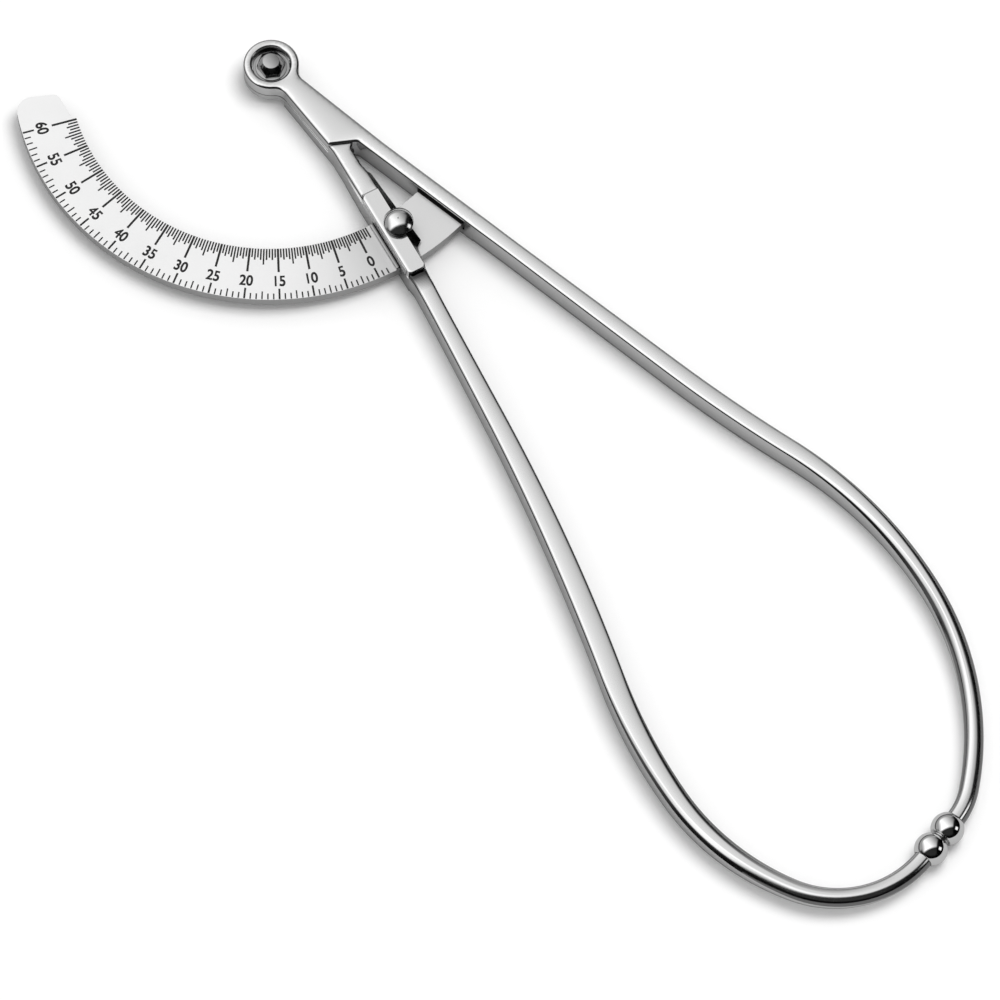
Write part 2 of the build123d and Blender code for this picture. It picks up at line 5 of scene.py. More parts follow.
import bmesh
import bpy
from bpy.props import FloatProperty, FloatVectorProperty, IntProperty, PointerProperty
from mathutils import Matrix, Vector
from mathutils.geometry import delaunay_2d_cdt
from mathutils.kdtree import KDTree


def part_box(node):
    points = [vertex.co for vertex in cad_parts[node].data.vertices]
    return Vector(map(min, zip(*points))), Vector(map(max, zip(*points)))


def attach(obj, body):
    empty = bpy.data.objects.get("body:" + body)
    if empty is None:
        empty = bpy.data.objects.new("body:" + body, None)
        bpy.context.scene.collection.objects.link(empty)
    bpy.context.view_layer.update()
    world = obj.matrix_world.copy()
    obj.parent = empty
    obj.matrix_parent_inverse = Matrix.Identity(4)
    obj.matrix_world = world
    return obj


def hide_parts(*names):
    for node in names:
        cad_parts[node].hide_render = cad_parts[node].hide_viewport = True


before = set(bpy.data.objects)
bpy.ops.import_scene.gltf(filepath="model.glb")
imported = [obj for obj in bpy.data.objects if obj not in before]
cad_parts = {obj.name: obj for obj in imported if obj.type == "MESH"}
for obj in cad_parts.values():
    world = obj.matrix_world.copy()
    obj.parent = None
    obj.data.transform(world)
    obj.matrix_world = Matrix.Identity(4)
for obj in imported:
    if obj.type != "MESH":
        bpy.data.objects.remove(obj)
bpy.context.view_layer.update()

bl_info = {
    "name": "Pelvimeter",
    "version": (1, 0, 0),
    "blender": (4, 5, 0),
    "location": "View3D > Sidebar > Pelvimeter",
    "description": "Builds the visible pieces of a steel pelvimeter",
    "category": "Object",
}

MM = 0.001
TOLERANCE = 1e-7
UP = Vector((0, 0, 1))

# Sizes shared with the solids, in millimetres
REACH = 330.0
ARM_DEPTH = 10.8
MID_HEIGHT = ARM_DEPTH / 2
WIRE_DIAMETER = 6.0
WIRE_RUN = 3.8
WIRE_SEAT = 3.4
CONTACT_HEADING = 105.0
HALF_TIPS = 4.18
ARC_TOP = 7.2
ARC_INNER = 62.4
ARC_OUTER = 80.0
BRIDGE_START = 54.2
BRIDGE_END = 84.9
BRIDGE_HALF = 3.07
BRIDGE_TOP = 11.3
BRIDGE_SEAT = 8.2

# How far the bridge's foot reaches out on its bevelled flank, at stations along arm B
BRIDGE_FLANK = [(54.2, 4.9), (75.0, 6.8), (76.5, 4.7), (84.9, 3.3)]

# An arm's line in plan has a heading in degrees, an offset to its left and stations along it from the hinge,
# where its route starts and where its shank is cut. The bar widens from the first width to the second over a
# share of its length. A bend has a radius and a turn, and the last one turns by what is left. Arm B turns at
# an elbow into its run's heading.
ARM_A = {"heading": 12.2, "offset": -0.95, "start": 46.0, "cut": 84.0, "width": (4.6, 5.6)}
ARM_A["bends"] = [(499.0, 5.3), (138.6, -25.5), (99.3, -41.0), (24.0, None)]
ARM_B = {"heading": -9.0, "offset": 4.9, "start": BRIDGE_END, "cut": 84.88, "width": (5.5, 7.2)}
ARM_B.update({"elbow": 87.0, "elbow_radius": 60.0, "run_heading": -12.2})
ARM_B["bends"] = [(795.0, -7.0), (181.0, 14.0), (80.0, 33.7), (33.3, None)]
WIDENING_SHARE = 0.45

# Sizes of the finish, in millimetres. The bars are a skin thinner than the solids, and their sides swell
# after a run. Arm B's bar tapers from the bridge's width and rises out of a scoop, with painted shade to the
# root's end.
EDGE_ROUND = 0.62
SKIN = 0.002
BULGE_RUN = 15.0
SLIDE_TAPER = 3.0
SCOOP_RUN = 9.0
SCOOP_SLOPE = 0.15
ROOT_END = 6.6
ROOT_FADE = 5.8
FOOT_HEIGHT = 1.3

# The largest share of a section that a rounding takes
NEARLY_HALF = 0.49

# Points round a corner of a bar's section, parts of its flat stretches, and the first point of each corner
CORNER_POINTS = 7
TOP_PARTS = 12
SIDE_PARTS = 8
TOP_LEFT = CORNER_POINTS + TOP_PARTS - 1
LOW_LEFT = TOP_LEFT + CORNER_POINTS + SIDE_PARTS - 1
LOW_RIGHT = LOW_LEFT + CORNER_POINTS + TOP_PARTS - 1
TOP_FACES = range(4, TOP_LEFT + 3)

# How dark the painted shade is in places, where 1 is black
BAR_FACETS = 0.7
BAR_FOOT = 0.6
SHANK_FACETS = 0.6
SHANK_FOOT = 0.5
COUNTERBORE = 0.93
SCOOP_ROOT = 0.92
ARC_BY_ARM = 0.96
ARC_EDGES = 0.85
ARC_SIDES = 0.5
KNOB_SIDE = 0.9

# How dark the painted shade on the arc is near the bridge, by the angle about the hinge in degrees
ARC_SHADE_BY_ANGLE = [(-40.0, 0.0), (-32.0, 0.03), (-24.0, 0.09), (-16.0, 0.23), (-10.0, 0.35), (-5.0, 0.22), (20.0, 0.20)]


class PelvimeterSizes(bpy.types.PropertyGroup):
    crown: FloatProperty(
        name="Crown",
        description="How far a wide top rises from its edges to its middle",
        default=0.38 * MM,
        min=0.0,
        max=0.8 * MM,
        unit="LENGTH",
    )
    crown_reach: FloatProperty(
        name="Crown reach",
        description="How quickly an arm's top levels out from its edges",
        default=1.8 * MM,
        min=0.5 * MM,
        unit="LENGTH",
    )
    side_bulge: FloatProperty(
        name="Side bulge", description="How far a bar's sides swell", default=0.12 * MM, unit="LENGTH"
    )
    ball_radius: FloatProperty(
        name="Ball radius", description="Radius of the ball tips", default=5.15 * MM, unit="LENGTH"
    )
    knob_radius: FloatProperty(
        name="Knob radius", description="Radius of the lock screw's dome", default=4.65 * MM, unit="LENGTH"
    )


class PelvimeterScale(bpy.types.PropertyGroup):
    first_angle: FloatProperty(
        name="Zero mark",
        description="Angle of the zero mark about the hinge",
        default=radians(-12.95),
        subtype="ANGLE",
    )
    pitch: FloatProperty(
        name="Pitch",
        description="Angle from the zero mark to the next numeral",
        default=radians(-7.35),
        subtype="ANGLE",
    )
    widening: FloatProperty(
        name="Widening",
        description="How the angle grows with the square of the step",
        default=radians(-0.0725),
        subtype="ANGLE",
    )
    numerals: IntProperty(name="Numerals", description="How many numerals the arc carries", default=13, min=2)
    step: IntProperty(name="Step", description="Value between two numerals, in centimetres", default=5, min=1)
    inner_parts: IntProperty(name="Inner parts", description="Parts of a step on the inner edge", default=10)
    outer_parts: IntProperty(name="Outer parts", description="Parts of a step on the outer edge", default=6)
    height: FloatProperty(
        name="Numeral height", description="Height of a numeral", default=3.55 * MM, unit="LENGTH"
    )


class PelvimeterFinish(bpy.types.PropertyGroup):
    polished: FloatVectorProperty(
        name="Polished steel",
        description="Colour of the polished arms and the bridge",
        subtype="COLOR_GAMMA",
        default=(0.83, 0.83, 0.83),
    )
    roughness: FloatProperty(
        name="Polish",
        description="Roughness of the polished arms",
        default=0.13,
        min=0.0,
        max=1.0,
        subtype="FACTOR",
    )


def size(name):
    """One of the sizes that a user can change, in millimetres."""
    return getattr(bpy.context.scene.pelvimeter_sizes, name) / MM


def linear(colour):
    """An sRGB hex colour, or three sRGB values, as linear RGBA."""
    if isinstance(colour, str):
        colour = [int(colour[i : i + 2], 16) / 255 for i in (1, 3, 5)]
    return (*(c / 12.92 if c <= 0.04045 else ((c + 0.055) / 1.055) ** 2.4 for c in colour), 1.0)


def add(tree, kind, inputs=None, **settings):
    """Adds a node with its settings and inputs.

    An input takes a value, a node's output, a node for its first output, or a list of several of those."""
    node = tree.nodes.new(kind)
    for key, value in settings.items():
        setattr(node, key, value)
    for key, values in (inputs or {}).items():
        for value in values if isinstance(values, list) else [values]:
            source = value.outputs[0] if isinstance(value, bpy.types.Node) else value
            if isinstance(source, bpy.types.NodeSocket):
                tree.links.new(source, node.inputs[key])
            else:
                node.inputs[key].default_value = source
    return node


# Places along an arm, in plan


def direction(angle):
    return Vector((cos(radians(angle)), sin(radians(angle)), 0.0))


def left_of(angle):
    return direction(angle + 90)


def on_arm(arm, along, across=0.0):
    """A place in plan by its distance along an arm's line from the hinge, and to the left of it."""
    return direction(arm["heading"]) * along + left_of(arm["heading"]) * (arm["offset"] + across)


def across_arm(arm, place):
    """How far a place lies to the left of an arm's line."""
    return place.dot(left_of(arm["heading"])) - arm["offset"]


def arc_shift(heading, radius, turn):
    """The way from an arc's start to its end, by its first heading and its turn."""
    signed = radius if turn > 0 else -radius
    a, b = radians(heading), radians(heading + turn)
    return Vector((signed * (sin(b) - sin(a)), signed * (cos(a) - cos(b)), 0.0))


def arm_route(start, heading, bends, tip, end_heading):
    """A straight run, tangent arcs and a short straight end, each as a length and a turn.

    The run's length and one scale on all the radii close the route on the tip."""
    turns = [turn for radius, turn in bends[:-1]]
    turns.append(end_heading - heading - sum(turns))
    radii = [radius for radius, turn in bends]
    bow = Vector((0, 0, 0))
    angle = heading
    for radius, turn in zip(radii, turns):
        bow += arc_shift(angle, radius, turn)
        angle += turn
    gap = tip - direction(end_heading) * WIRE_RUN - start
    along = direction(heading)
    scale = (along.x * gap.y - along.y * gap.x) / (along.x * bow.y - along.y * bow.x)
    pieces = [((gap - bow * scale).dot(along), 0.0)]
    pieces += [(radius * scale * radians(abs(turn)), turn) for radius, turn in zip(radii, turns)]
    return pieces + [(WIRE_RUN, 0.0)]


def route_length(pieces):
    return sum(length for length, turn in pieces)


def route_place(start, heading, pieces, distance):
    """The place and the heading at a distance along a route."""
    point, angle, rest = start.copy(), heading, distance
    for length, turn in pieces:
        part = min(rest, length)
        share = turn * part / length
        if share:
            point += arc_shift(angle, length / radians(abs(turn)), share)
        else:
            point += direction(angle) * part
        angle += share
        rest -= part
    return point, angle


def tip_centre(side):
    return Vector((REACH, 0, 0)) + direction(CONTACT_HEADING) * HALF_TIPS * side


def ease(value):
    value = min(max(value, 0.0), 1.0)
    return value * value * (3 - 2 * value)


def between(stops, value):
    """What holds at a value, read between stops that each give a value and what holds there."""
    for (start, first), (end, last) in zip(stops, stops[1:]):
        if value <= end:
            return first + (last - first) * max(0.0, value - start) / (end - start)
    return stops[-1][1]


def strip_rise(across, half):
    """How high a bar's crowned top stands over its edges, at a distance from its middle."""
    reach = size("crown_reach")
    return size("crown") * (1 - cosh(across / reach) / cosh(half / reach))


# Meshes


def new_object(name, data):
    item = bpy.data.objects.new(name, data)
    bpy.context.scene.collection.objects.link(item)
    return item


def new_piece(name, mesh, maker):
    """An object from a mesh, with its finish."""
    mesh.materials.append(finish_of(maker))
    piece = new_object(name, mesh)
    return piece


def mesh_of(bm, name):
    """A mesh with smooth shading that breaks at edges sharper than 32 degrees."""
    mesh = bpy.data.meshes.new(name)
    bm.to_mesh(mesh)
    bm.free()
    mesh.shade_smooth()
    mesh.set_sharp_from_angle(angle=radians(32))
    return mesh


def plain_mesh(piece):
    """Turns an object's modifiers into its own plain mesh."""
    graph = bpy.context.evaluated_depsgraph_get()
    mesh = bpy.data.meshes.new_from_object(piece.evaluated_get(graph), depsgraph=graph)
    piece.modifiers.clear()
    piece.data = mesh
    return piece


def settle(piece, body, *nodes):
    """Puts a finished piece on its body, with the solids it stands for."""
    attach(piece, body)
    if nodes:
        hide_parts(*nodes)


def flat_face_normals(piece):
    """Lets the large flat faces set the shading beside rounded edges."""
    weights = piece.modifiers.new("flat faces lead", "WEIGHTED_NORMAL")
    weights.keep_sharp = True
    weights.weight = 100
    return plain_mesh(piece)


def cut_plane(bm, point, normal, clear=False):
    """Cuts a mesh along a plane, and with clear takes away all beyond it. The point is in millimetres."""
    geometry = bm.verts[:] + bm.edges[:] + bm.faces[:]
    bmesh.ops.bisect_plane(
        bm, geom=geometry, plane_co=point * MM, plane_no=normal, clear_outer=clear, dist=TOLERANCE
    )


def node_copy(name, cuts=()):
    """A merged copy of a solid's triangles, with flat areas joined, then cut along planes."""
    bm = bmesh.new()
    bm.from_mesh(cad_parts[name].data)
    bmesh.ops.remove_doubles(bm, verts=bm.verts, dist=10 * TOLERANCE)
    bmesh.ops.dissolve_limit(bm, angle_limit=radians(0.3), verts=bm.verts, edges=bm.edges)
    for point, normal in cuts:
        cut_plane(bm, point, normal)
    return bm


def darken(bm, dark):
    """Stores on each face how much painted shade it gets, from its centre in mm and its normal."""
    bm.normal_update()
    layer = bm.faces.layers.float.new("unpolished")
    for face in bm.faces:
        face[layer] = dark(face.calc_center_median() / MM, face.normal)


def edged_copy(node, name, maker, bevel, limit=40.0, cuts=()):
    """A solid's copy whose edges sharper than a limit are broken by a small bevel that catches the light."""
    piece = new_piece(name, mesh_of(node_copy(node, cuts), name), maker)
    breaks = piece.modifiers.new("broken edges", "BEVEL")
    breaks.width = bevel * MM
    breaks.segments = 2
    breaks.limit_method = "ANGLE"
    breaks.angle_limit = radians(limit)
    return flat_face_normals(plain_mesh(piece))


def lathe(profile, base, axis, turns=96):
    """A round piece from its profile of radii and heights along an axis, in millimetres."""
    bm = bmesh.new()
    turn = axis.to_track_quat("Z", "Y").to_matrix()
    rows = []
    for radius, height in profile:
        angles = [2 * pi * k / turns for k in range(turns if radius else 1)]
        spots = [base + turn @ Vector((radius * cos(a), radius * sin(a), height)) for a in angles]
        rows.append([bm.verts.new(spot * MM) for spot in spots])
    for low, high in zip(rows, rows[1:]):
        for k in range(turns):
            n = (k + 1) % turns
            corners = [low[k % len(low)], low[n % len(low)], high[n % len(high)], high[k % len(high)]]
            corners = list(dict.fromkeys(corners))
            if len(corners) > 2:
                bm.faces.new(corners)
    bmesh.ops.recalc_face_normals(bm, faces=bm.faces)
    return bm


def arc_points(radius, centre_height, start, end, count):
    """Points of a profile's arc about its axis: angles from the radial direction, in degrees."""
    angles = [radians(start + (end - start) * k / count) for k in range(count + 1)]
    return [(radius * cos(a), centre_height + radius * sin(a)) for a in angles]


def skin(bm, rings):
    """Closes rings of points into a surface. Gives the faces of each band between two rings."""
    count = len(rings[0])
    bands = []
    for low, high in zip(rings, rings[1:]):
        pairs = [(k, (k + 1) % count) for k in range(count)]
        bands.append([bm.faces.new((low[k], low[n], high[n], high[k])) for k, n in pairs])
    bm.faces.new(rings[0])
    bm.faces.new(reversed(rings[-1]))
    bmesh.ops.recalc_face_normals(bm, faces=bm.faces)
    return bands


# Bars and bows


def corner_at(share, rounding, crowned):
    """A point of a bar's corner, out and up from its rounding's centre: an arc, or a twice-broken edge."""
    arc = Vector((cos(share * pi / 2), sin(share * pi / 2))) * rounding
    low, middle, high = Vector((1.0, 0.176)), Vector((0.545, 0.68)), Vector((0.0, 1.0))
    if share < 0.5:
        broken = low.lerp(middle, share * 2)
    else:
        broken = middle.lerp(high, share * 2 - 1)
    return arc.lerp(broken * rounding, crowned)


def bar_outline(width, depth, rounding, crowned, bulge):
    """One section of a bar, from its top right corner round: crowned top and bottom, swelling sides."""
    half, deep = width / 2 - SKIN, depth / 2
    drop = size("crown") * crowned
    inner = half - rounding - bulge * crowned
    tall = deep - rounding - drop
    points = []
    for quarter, (sign_v, sign_z) in enumerate(((1, 1), (-1, 1), (-1, -1), (1, -1))):
        before_level = quarter % 2 == 0
        for k in range(CORNER_POINTS):
            share = k / (CORNER_POINTS - 1)
            out, up = corner_at(share if before_level else 1 - share, rounding, min(1.0, 2 * crowned))
            points.append((sign_v * (inner + out), sign_z * (tall + up)))
        count = TOP_PARTS if before_level else SIDE_PARTS
        for k in range(1, count):
            t = 1 - 2 * k / count
            if before_level:
                v = sign_v * t * inner
                z = sign_z * (deep - drop + crowned * strip_rise(v, inner))
            else:
                v = sign_v * (half - bulge * crowned * t * t)
                z = sign_z * t * tall
            points.append((v, z))
    return points


def bar_edge_faces():
    """Which faces round a bar get painted shade: the steep facets of its top edges, and the feet of its
    sides.
    """
    shaded_faces = {LOW_LEFT - 1: BAR_FOOT, LOW_RIGHT + CORNER_POINTS - 1: BAR_FOOT}
    for k in range(CORNER_POINTS // 2):
        shaded_faces[k] = BAR_FACETS
        shaded_faces[TOP_LEFT + CORNER_POINTS // 2 + k] = BAR_FACETS
    return shaded_faces


def root_shade(distance):
    """How much painted shade the scoop gets: most against the bridge, and less further out."""
    return min(SCOOP_ROOT, max(0.0, (ROOT_END - distance) / ROOT_FADE))


def bar_stations(first, end, scooped, count=170):
    """Distances along the route for a bar's sections, half a millimetre apart in a scoop."""
    stations = [first + (end - first) * step / count for step in range(count + 1)]
    if scooped:
        stations = [first + 0.5 * step for step in range(20)] + [d for d in stations if d > first + 10]
    return stations


def bar_bow(arm, pieces, first, lead=0.0):
    """The bar and bow beyond a distance along the route: flat and deep at first, round wire at the tip.

    A lead is a part of the route before the bar proper. The top of a bar with one is scooped out there,
    and the scoop's root gets painted shade."""
    start, widths = on_arm(arm, arm["start"]), arm["width"]
    total = route_length(pieces) - WIRE_RUN
    straight = route_length(pieces[: 4 if lead else 2])
    stations = bar_stations(first, total + WIRE_RUN - WIRE_SEAT, lead > 0)
    bm = bmesh.new()
    layer = bm.faces.layers.float.new("unpolished")
    rings = []
    for distance in stations:
        point, angle = route_place(start, arm["heading"], pieces, distance)
        widening = ease((distance - lead) / (WIDENING_SHARE * (total - lead)))
        thinning = ease((distance - straight) / (total - straight))
        width = widths[0] + (widths[1] - widths[0]) * widening + (WIRE_DIAMETER - widths[1]) * thinning
        depth = ARM_DEPTH + (WIRE_DIAMETER - ARM_DEPTH) * thinning
        sunk = 0.0
        if lead:
            width += (2 * BRIDGE_HALF - widths[0]) * max(0.0, 1 - (distance - first) / SLIDE_TAPER)
            sunk = SCOOP_SLOPE * SCOOP_RUN / 2 * max(0.0, 1 - (distance - first) / SCOOP_RUN) ** 2
        rounding = EDGE_ROUND + (NEARLY_HALF * WIRE_DIAMETER - EDGE_ROUND) * sqrt(thinning)
        rounding = min(rounding, NEARLY_HALF * min(width, depth))
        bulge = size("side_bulge") * ease((distance - first) / BULGE_RUN)
        ring = []
        for v, z in bar_outline(width, depth, rounding, 1 - thinning, bulge):
            level = MID_HEIGHT + z - sunk * max(0.0, min(1.0, z / 2))
            ring.append(bm.verts.new((point + left_of(angle) * v + UP * level) * MM))
        rings.append(ring)
    # Painted shade on the bar's edge facets and feet, and in the scoop's root.
    shaded_faces = bar_edge_faces()
    for distance, band in zip(stations, skin(bm, rings)):
        root = root_shade(distance - first) if lead else 0.0
        for k, face in enumerate(band):
            face[layer] = max(shaded_faces.get(k, 0.0), root if k in TOP_FACES else 0.0)
    return bm


# Shanks


def shank_copy(node, arm, dark):
    """An arm's hinge end from its solid, cut where its bar goes on, with broken edges and a crowned top."""
    bm = node_copy(node, [(UP * FOOT_HEIGHT, UP)])
    darken(bm, dark)
    cut_normal = direction(arm["heading"])
    cut_plane(bm, on_arm(arm, arm["cut"]), cut_normal, clear=True)
    level = ARM_DEPTH - EDGE_ROUND - size("crown")
    cut_plane(bm, UP * level, UP, clear=True)
    lines, ends = break_rim(bm, open_rim(bm, level * MM), cut_normal)
    if ends:
        lines += end_line(bm, ends)
    fill_crowned(bm, lines)
    bmesh.ops.recalc_face_normals(bm, faces=bm.faces)
    return bm


def open_rim(bm, level, longest=0.5):
    """The open edges that a level cut left, split into short lengths."""
    rim = [e for e in bm.edges if e.is_boundary and all(abs(v.co.z - level) < TOLERANCE for v in e.verts)]
    for edge in list(rim):
        for k in range(ceil(edge.calc_length() / (longest * MM)), 1, -1):
            rim.append(bmesh.utils.edge_split(edge, edge.verts[0], 1 / k)[0])
    return rim


def inward_way(edges, cut_normal):
    """The way that moves a rim's corner inward by one from both its edges. At the cut it stays on the cut."""
    outs = [e.link_faces[0].normal.to_2d().normalized() for e in edges]
    last = 1.0
    if len(outs) == 1:
        outs.append(cut_normal.to_2d())
        last = 0.0
    a, b = outs
    cross = a.x * b.y - a.y * b.x
    if abs(cross) < 0.02:
        return -(a + b).normalized().to_3d()
    way = Vector(((last * a.y - b.y) / cross, (b.x - last * a.x) / cross, 0))
    return way * min(1.0, 2 / way.length)


def break_rim(bm, rim, cut_normal):
    """A twice-broken edge up from an open rim. Gives its upper lines, and its corners at the cut."""
    bm.normal_update()
    layer = bm.faces.layers.float["unpolished"]
    members = set(rim)
    columns, ends = {}, []
    for vert in dict.fromkeys(v for e in rim for v in e.verts):
        edges = [e for e in vert.link_edges if e in members]
        way = inward_way(edges, cut_normal)
        columns[vert] = [vert]
        for k in range(CORNER_POINTS):
            out, up = corner_at(k / (CORNER_POINTS - 1), EDGE_ROUND, 1.0)
            columns[vert].append(bm.verts.new(vert.co + (way * (EDGE_ROUND - out) + UP * up) * MM))
        if len(edges) == 1:
            ends.append(columns[vert][-1])
    lines = []
    for edge in rim:
        first, second = (columns[v] for v in edge.verts)
        for k in range(CORNER_POINTS):
            face = bm.faces.new((first[k], second[k], second[k + 1], first[k + 1]))
            # Painted shade on the steep facets of the broken edge.
            face[layer] = SHANK_FACETS if 0 < k < 4 else 0.0
        lines.append((first[-1], second[-1]))
    return lines, ends


def end_line(bm, ends, parts=10):
    """The crowned line across the cut, from one corner to the other."""
    start, end = (v.co for v in ends)
    half = (end - start).length / 2 / MM
    chain = [ends[0]]
    for k in range(1, parts):
        rise = strip_rise(half * (2 * k / parts - 1), half)
        chain.append(bm.verts.new(start.lerp(end, k / parts) + UP * rise * MM))
    chain.append(ends[1])
    return list(zip(chain, chain[1:]))


def inside(point, edges):
    """Even-odd test of a plan point against a set of edges."""
    odd = False
    x, y = point
    for a, b in edges:
        if (a[1] > y) != (b[1] > y) and x < (b[0] - a[0]) * (y - a[1]) / (b[1] - a[1]) + a[0]:
            odd = not odd
    return odd


def net_points(flat, outline, spacing=0.55):
    """An even net of points inside an outline, clear of its own points."""
    near = KDTree(len(flat))
    for k, spot in enumerate(flat):
        near.insert(spot.to_3d(), k)
    near.balance()
    step = spacing * MM
    row_step = 0.866 * step
    low = [min(p[i] for p in flat) for i in (0, 1)]
    high = [max(p[i] for p in flat) for i in (0, 1)]
    points = []
    for row in range(int((high[1] - low[1]) / row_step) + 1):
        for column in range(int((high[0] - low[0]) / step) + 1):
            spot = Vector((low[0] + (column + 0.5 * (row % 2)) * step, low[1] + row * row_step))
            if near.find(spot.to_3d())[2] > 0.75 * step and inside(spot, outline):
                points.append(spot)
    return points


def fill_crowned(bm, lines):
    """Fills a top's outline with a net of points and raises them."""
    verts = list(dict.fromkeys(v for line in lines for v in line))
    index = {v: k for k, v in enumerate(verts)}
    flat = [v.co.to_2d() for v in verts]
    fixed = [(index[a], index[b]) for a, b in lines]
    outline = [(flat[a], flat[b]) for a, b in fixed]
    points = flat + net_points(flat, outline)
    spots, _, faces, sources, _, _ = delaunay_2d_cdt(points, fixed, [], 1, 1e-9)
    faces = [f for f in faces if inside(sum((spots[k] for k in f), Vector((0, 0))) / len(f), outline)]
    edge_level = min(v.co.z for v in verts)
    made = {}
    for k in {k for f in faces for k in f}:
        source = [i for i in sources[k] if i < len(verts)]
        made[k] = verts[source[0]] if source else None
    held = {k: v.co.z - edge_level for k, v in made.items() if v}
    heights = crown_heights(spots, faces, held)
    for k, vert in made.items():
        if vert is None:
            made[k] = bm.verts.new((spots[k].x, spots[k].y, edge_level + heights[k]))
    for face in faces:
        bm.faces.new([made[k] for k in face])


def crown_heights(spots, faces, held, rounds=60):
    """Heights of a sheet held at its rim and lifted from a springy bed: it levels out where it is wide."""
    links = [{} for spot in spots]
    areas = [0.0] * len(spots)
    for face in faces:
        for turn in range(3):
            i, j, k = face[turn], face[(turn + 1) % 3], face[(turn + 2) % 3]
            a, b = spots[i] - spots[k], spots[j] - spots[k]
            double = max(abs(a.x * b.y - a.y * b.x), 1e-14)
            share = a.dot(b) / double / 2
            links[i][j] = links[i].get(j, 0.0) + share
            links[j][i] = links[j].get(i, 0.0) + share
            areas[i] += double / 6
    crown, reach = size("crown") * MM, size("crown_reach") * MM
    heights = [held.get(k, 0.0) for k in range(len(spots))]
    free = [k for k in range(len(spots)) if links[k] and k not in held]
    for _ in range(rounds):
        for k in free:
            bed = areas[k] / reach**2
            pull = sum(weight * heights[n] for n, weight in links[k].items())
            heights[k] = (pull + bed * crown) / (sum(links[k].values()) + bed)
    return heights


# Finishes


def new_material(name):
    """A material that is still empty, and its tree."""
    material = bpy.data.materials.new(name)
    material.use_nodes = True
    material.node_tree.nodes.clear()
    return material, material.node_tree


def metal(name, colour, roughness, spread, grain, bump, streak=(1, 1, 1)):
    """A metal whose roughness and surface vary. The grain and the bump are in millimetres.

    The grain is drawn coarser than the real marks, which are a tenth of a millimetre or less and don't show.
    Smudges are as wide as a finger. Marked faces get painted shade, up to black, where shadows and dark
    reflections fall."""
    material, tree = new_material(name)
    place = add(tree, "ShaderNodeTexCoord").outputs["Object"]
    stretched = add(tree, "ShaderNodeMapping", {"Vector": place, "Scale": streak})
    fine_values = {"Vector": stretched, "Scale": 1 / (grain * MM), "Detail": 4.0, "Roughness": 0.6}
    fine = add(tree, "ShaderNodeTexNoise", fine_values)
    smudge = add(tree, "ShaderNodeTexNoise", {"Vector": place, "Scale": 1 / (14 * MM), "Detail": 3.0})
    mixed = add(tree, "ShaderNodeMath", {0: fine, 1: smudge}, operation="MULTIPLY")
    levels = {"From Min": 0.1, "From Max": 0.45, "To Min": roughness, "To Max": roughness + spread}
    rough = add(tree, "ShaderNodeMapRange", {"Value": mixed, **levels})
    relief = add(tree, "ShaderNodeBump", {"Height": fine, "Strength": 1.0, "Distance": bump * MM})
    # Painted shade: a face attribute darkens the steel towards black where shadows and dark reflections fall.
    unpolished = add(tree, "ShaderNodeAttribute", attribute_name="unpolished").outputs["Fac"]
    tones = {"Factor": unpolished, "A": linear(colour), "B": linear("#0A0A0A")}
    tone = add(tree, "ShaderNodeMix", tones, data_type="RGBA").outputs["Result"]
    shading = {"Roughness": rough, "Normal": relief, "Metallic": 1.0, "Base Color": tone}
    add(tree, "ShaderNodeOutputMaterial", {"Surface": add(tree, "ShaderNodeBsdfPrincipled", shading)})
    return material


def polished_steel():
    """Forged stainless steel, mirror polished on felt: sharp reflections, softened by faint wipe marks."""
    finish = bpy.context.scene.pelvimeter_finish
    return metal(
        "forged_steel_mirror_polished", finish.polished, finish.roughness, spread=0.06, grain=0.9, bump=0.0012
    )


def ball_steel():
    """Turned stainless steel, buffed brighter than the arms: almost a true mirror."""
    return metal("turned_steel_buffed", "#D9D9D9", 0.05, spread=0.03, grain=0.6, bump=0.0004)


def scale_steel():
    """Steel, bead blasted fine, on the arc and the bridge's ridges: a pale, soft sheen, faintly clouded."""
    return metal("sheet_steel_fine_blasted", "#F3F3F3", 0.38, spread=0.10, grain=0.35, bump=0.004)


def bridge_steel():
    """Milled steel, polished after assembly: as bright as the arm, with faint lines along it."""
    colour = bpy.context.scene.pelvimeter_finish.polished
    return metal(
        "milled_steel_polished", colour, 0.14, spread=0.05, grain=0.5, bump=0.001, streak=(0.15, 1, 1)
    )


def turned_steel():
    """Small turned steel parts, left as cut: grey with fine tool marks."""
    return metal("turned_steel_as_cut", "#BDBDBD", 0.20, spread=0.12, grain=0.3, bump=0.0015)


def spring_steel():
    """Stamped spring steel, tumbled bright: darker than the arms, but still a soft mirror."""
    return metal("spring_steel_tumbled", "#9C9C9C", 0.12, spread=0.08, grain=0.4, bump=0.001)


def nut_steel():
    """Turned and milled stainless steel, polished but not buffed: a grey mirror."""
    return metal("nut_steel_polished", "#9E9E9E", 0.09, spread=0.05, grain=0.4, bump=0.0006)


def knob_steel():
    """Turned stainless steel, polished in the lathe and worn by fingers: a soft mirror."""
    return metal("turned_steel_handled", "#D2D2D2", 0.11, spread=0.06, grain=0.5, bump=0.0006)


def pad_brass():
    """Turned brass, dulled by rubbing on steel."""
    return metal("turned_brass_rubbed", "#C6A15B", 0.30, spread=0.15, grain=0.3, bump=0.002)


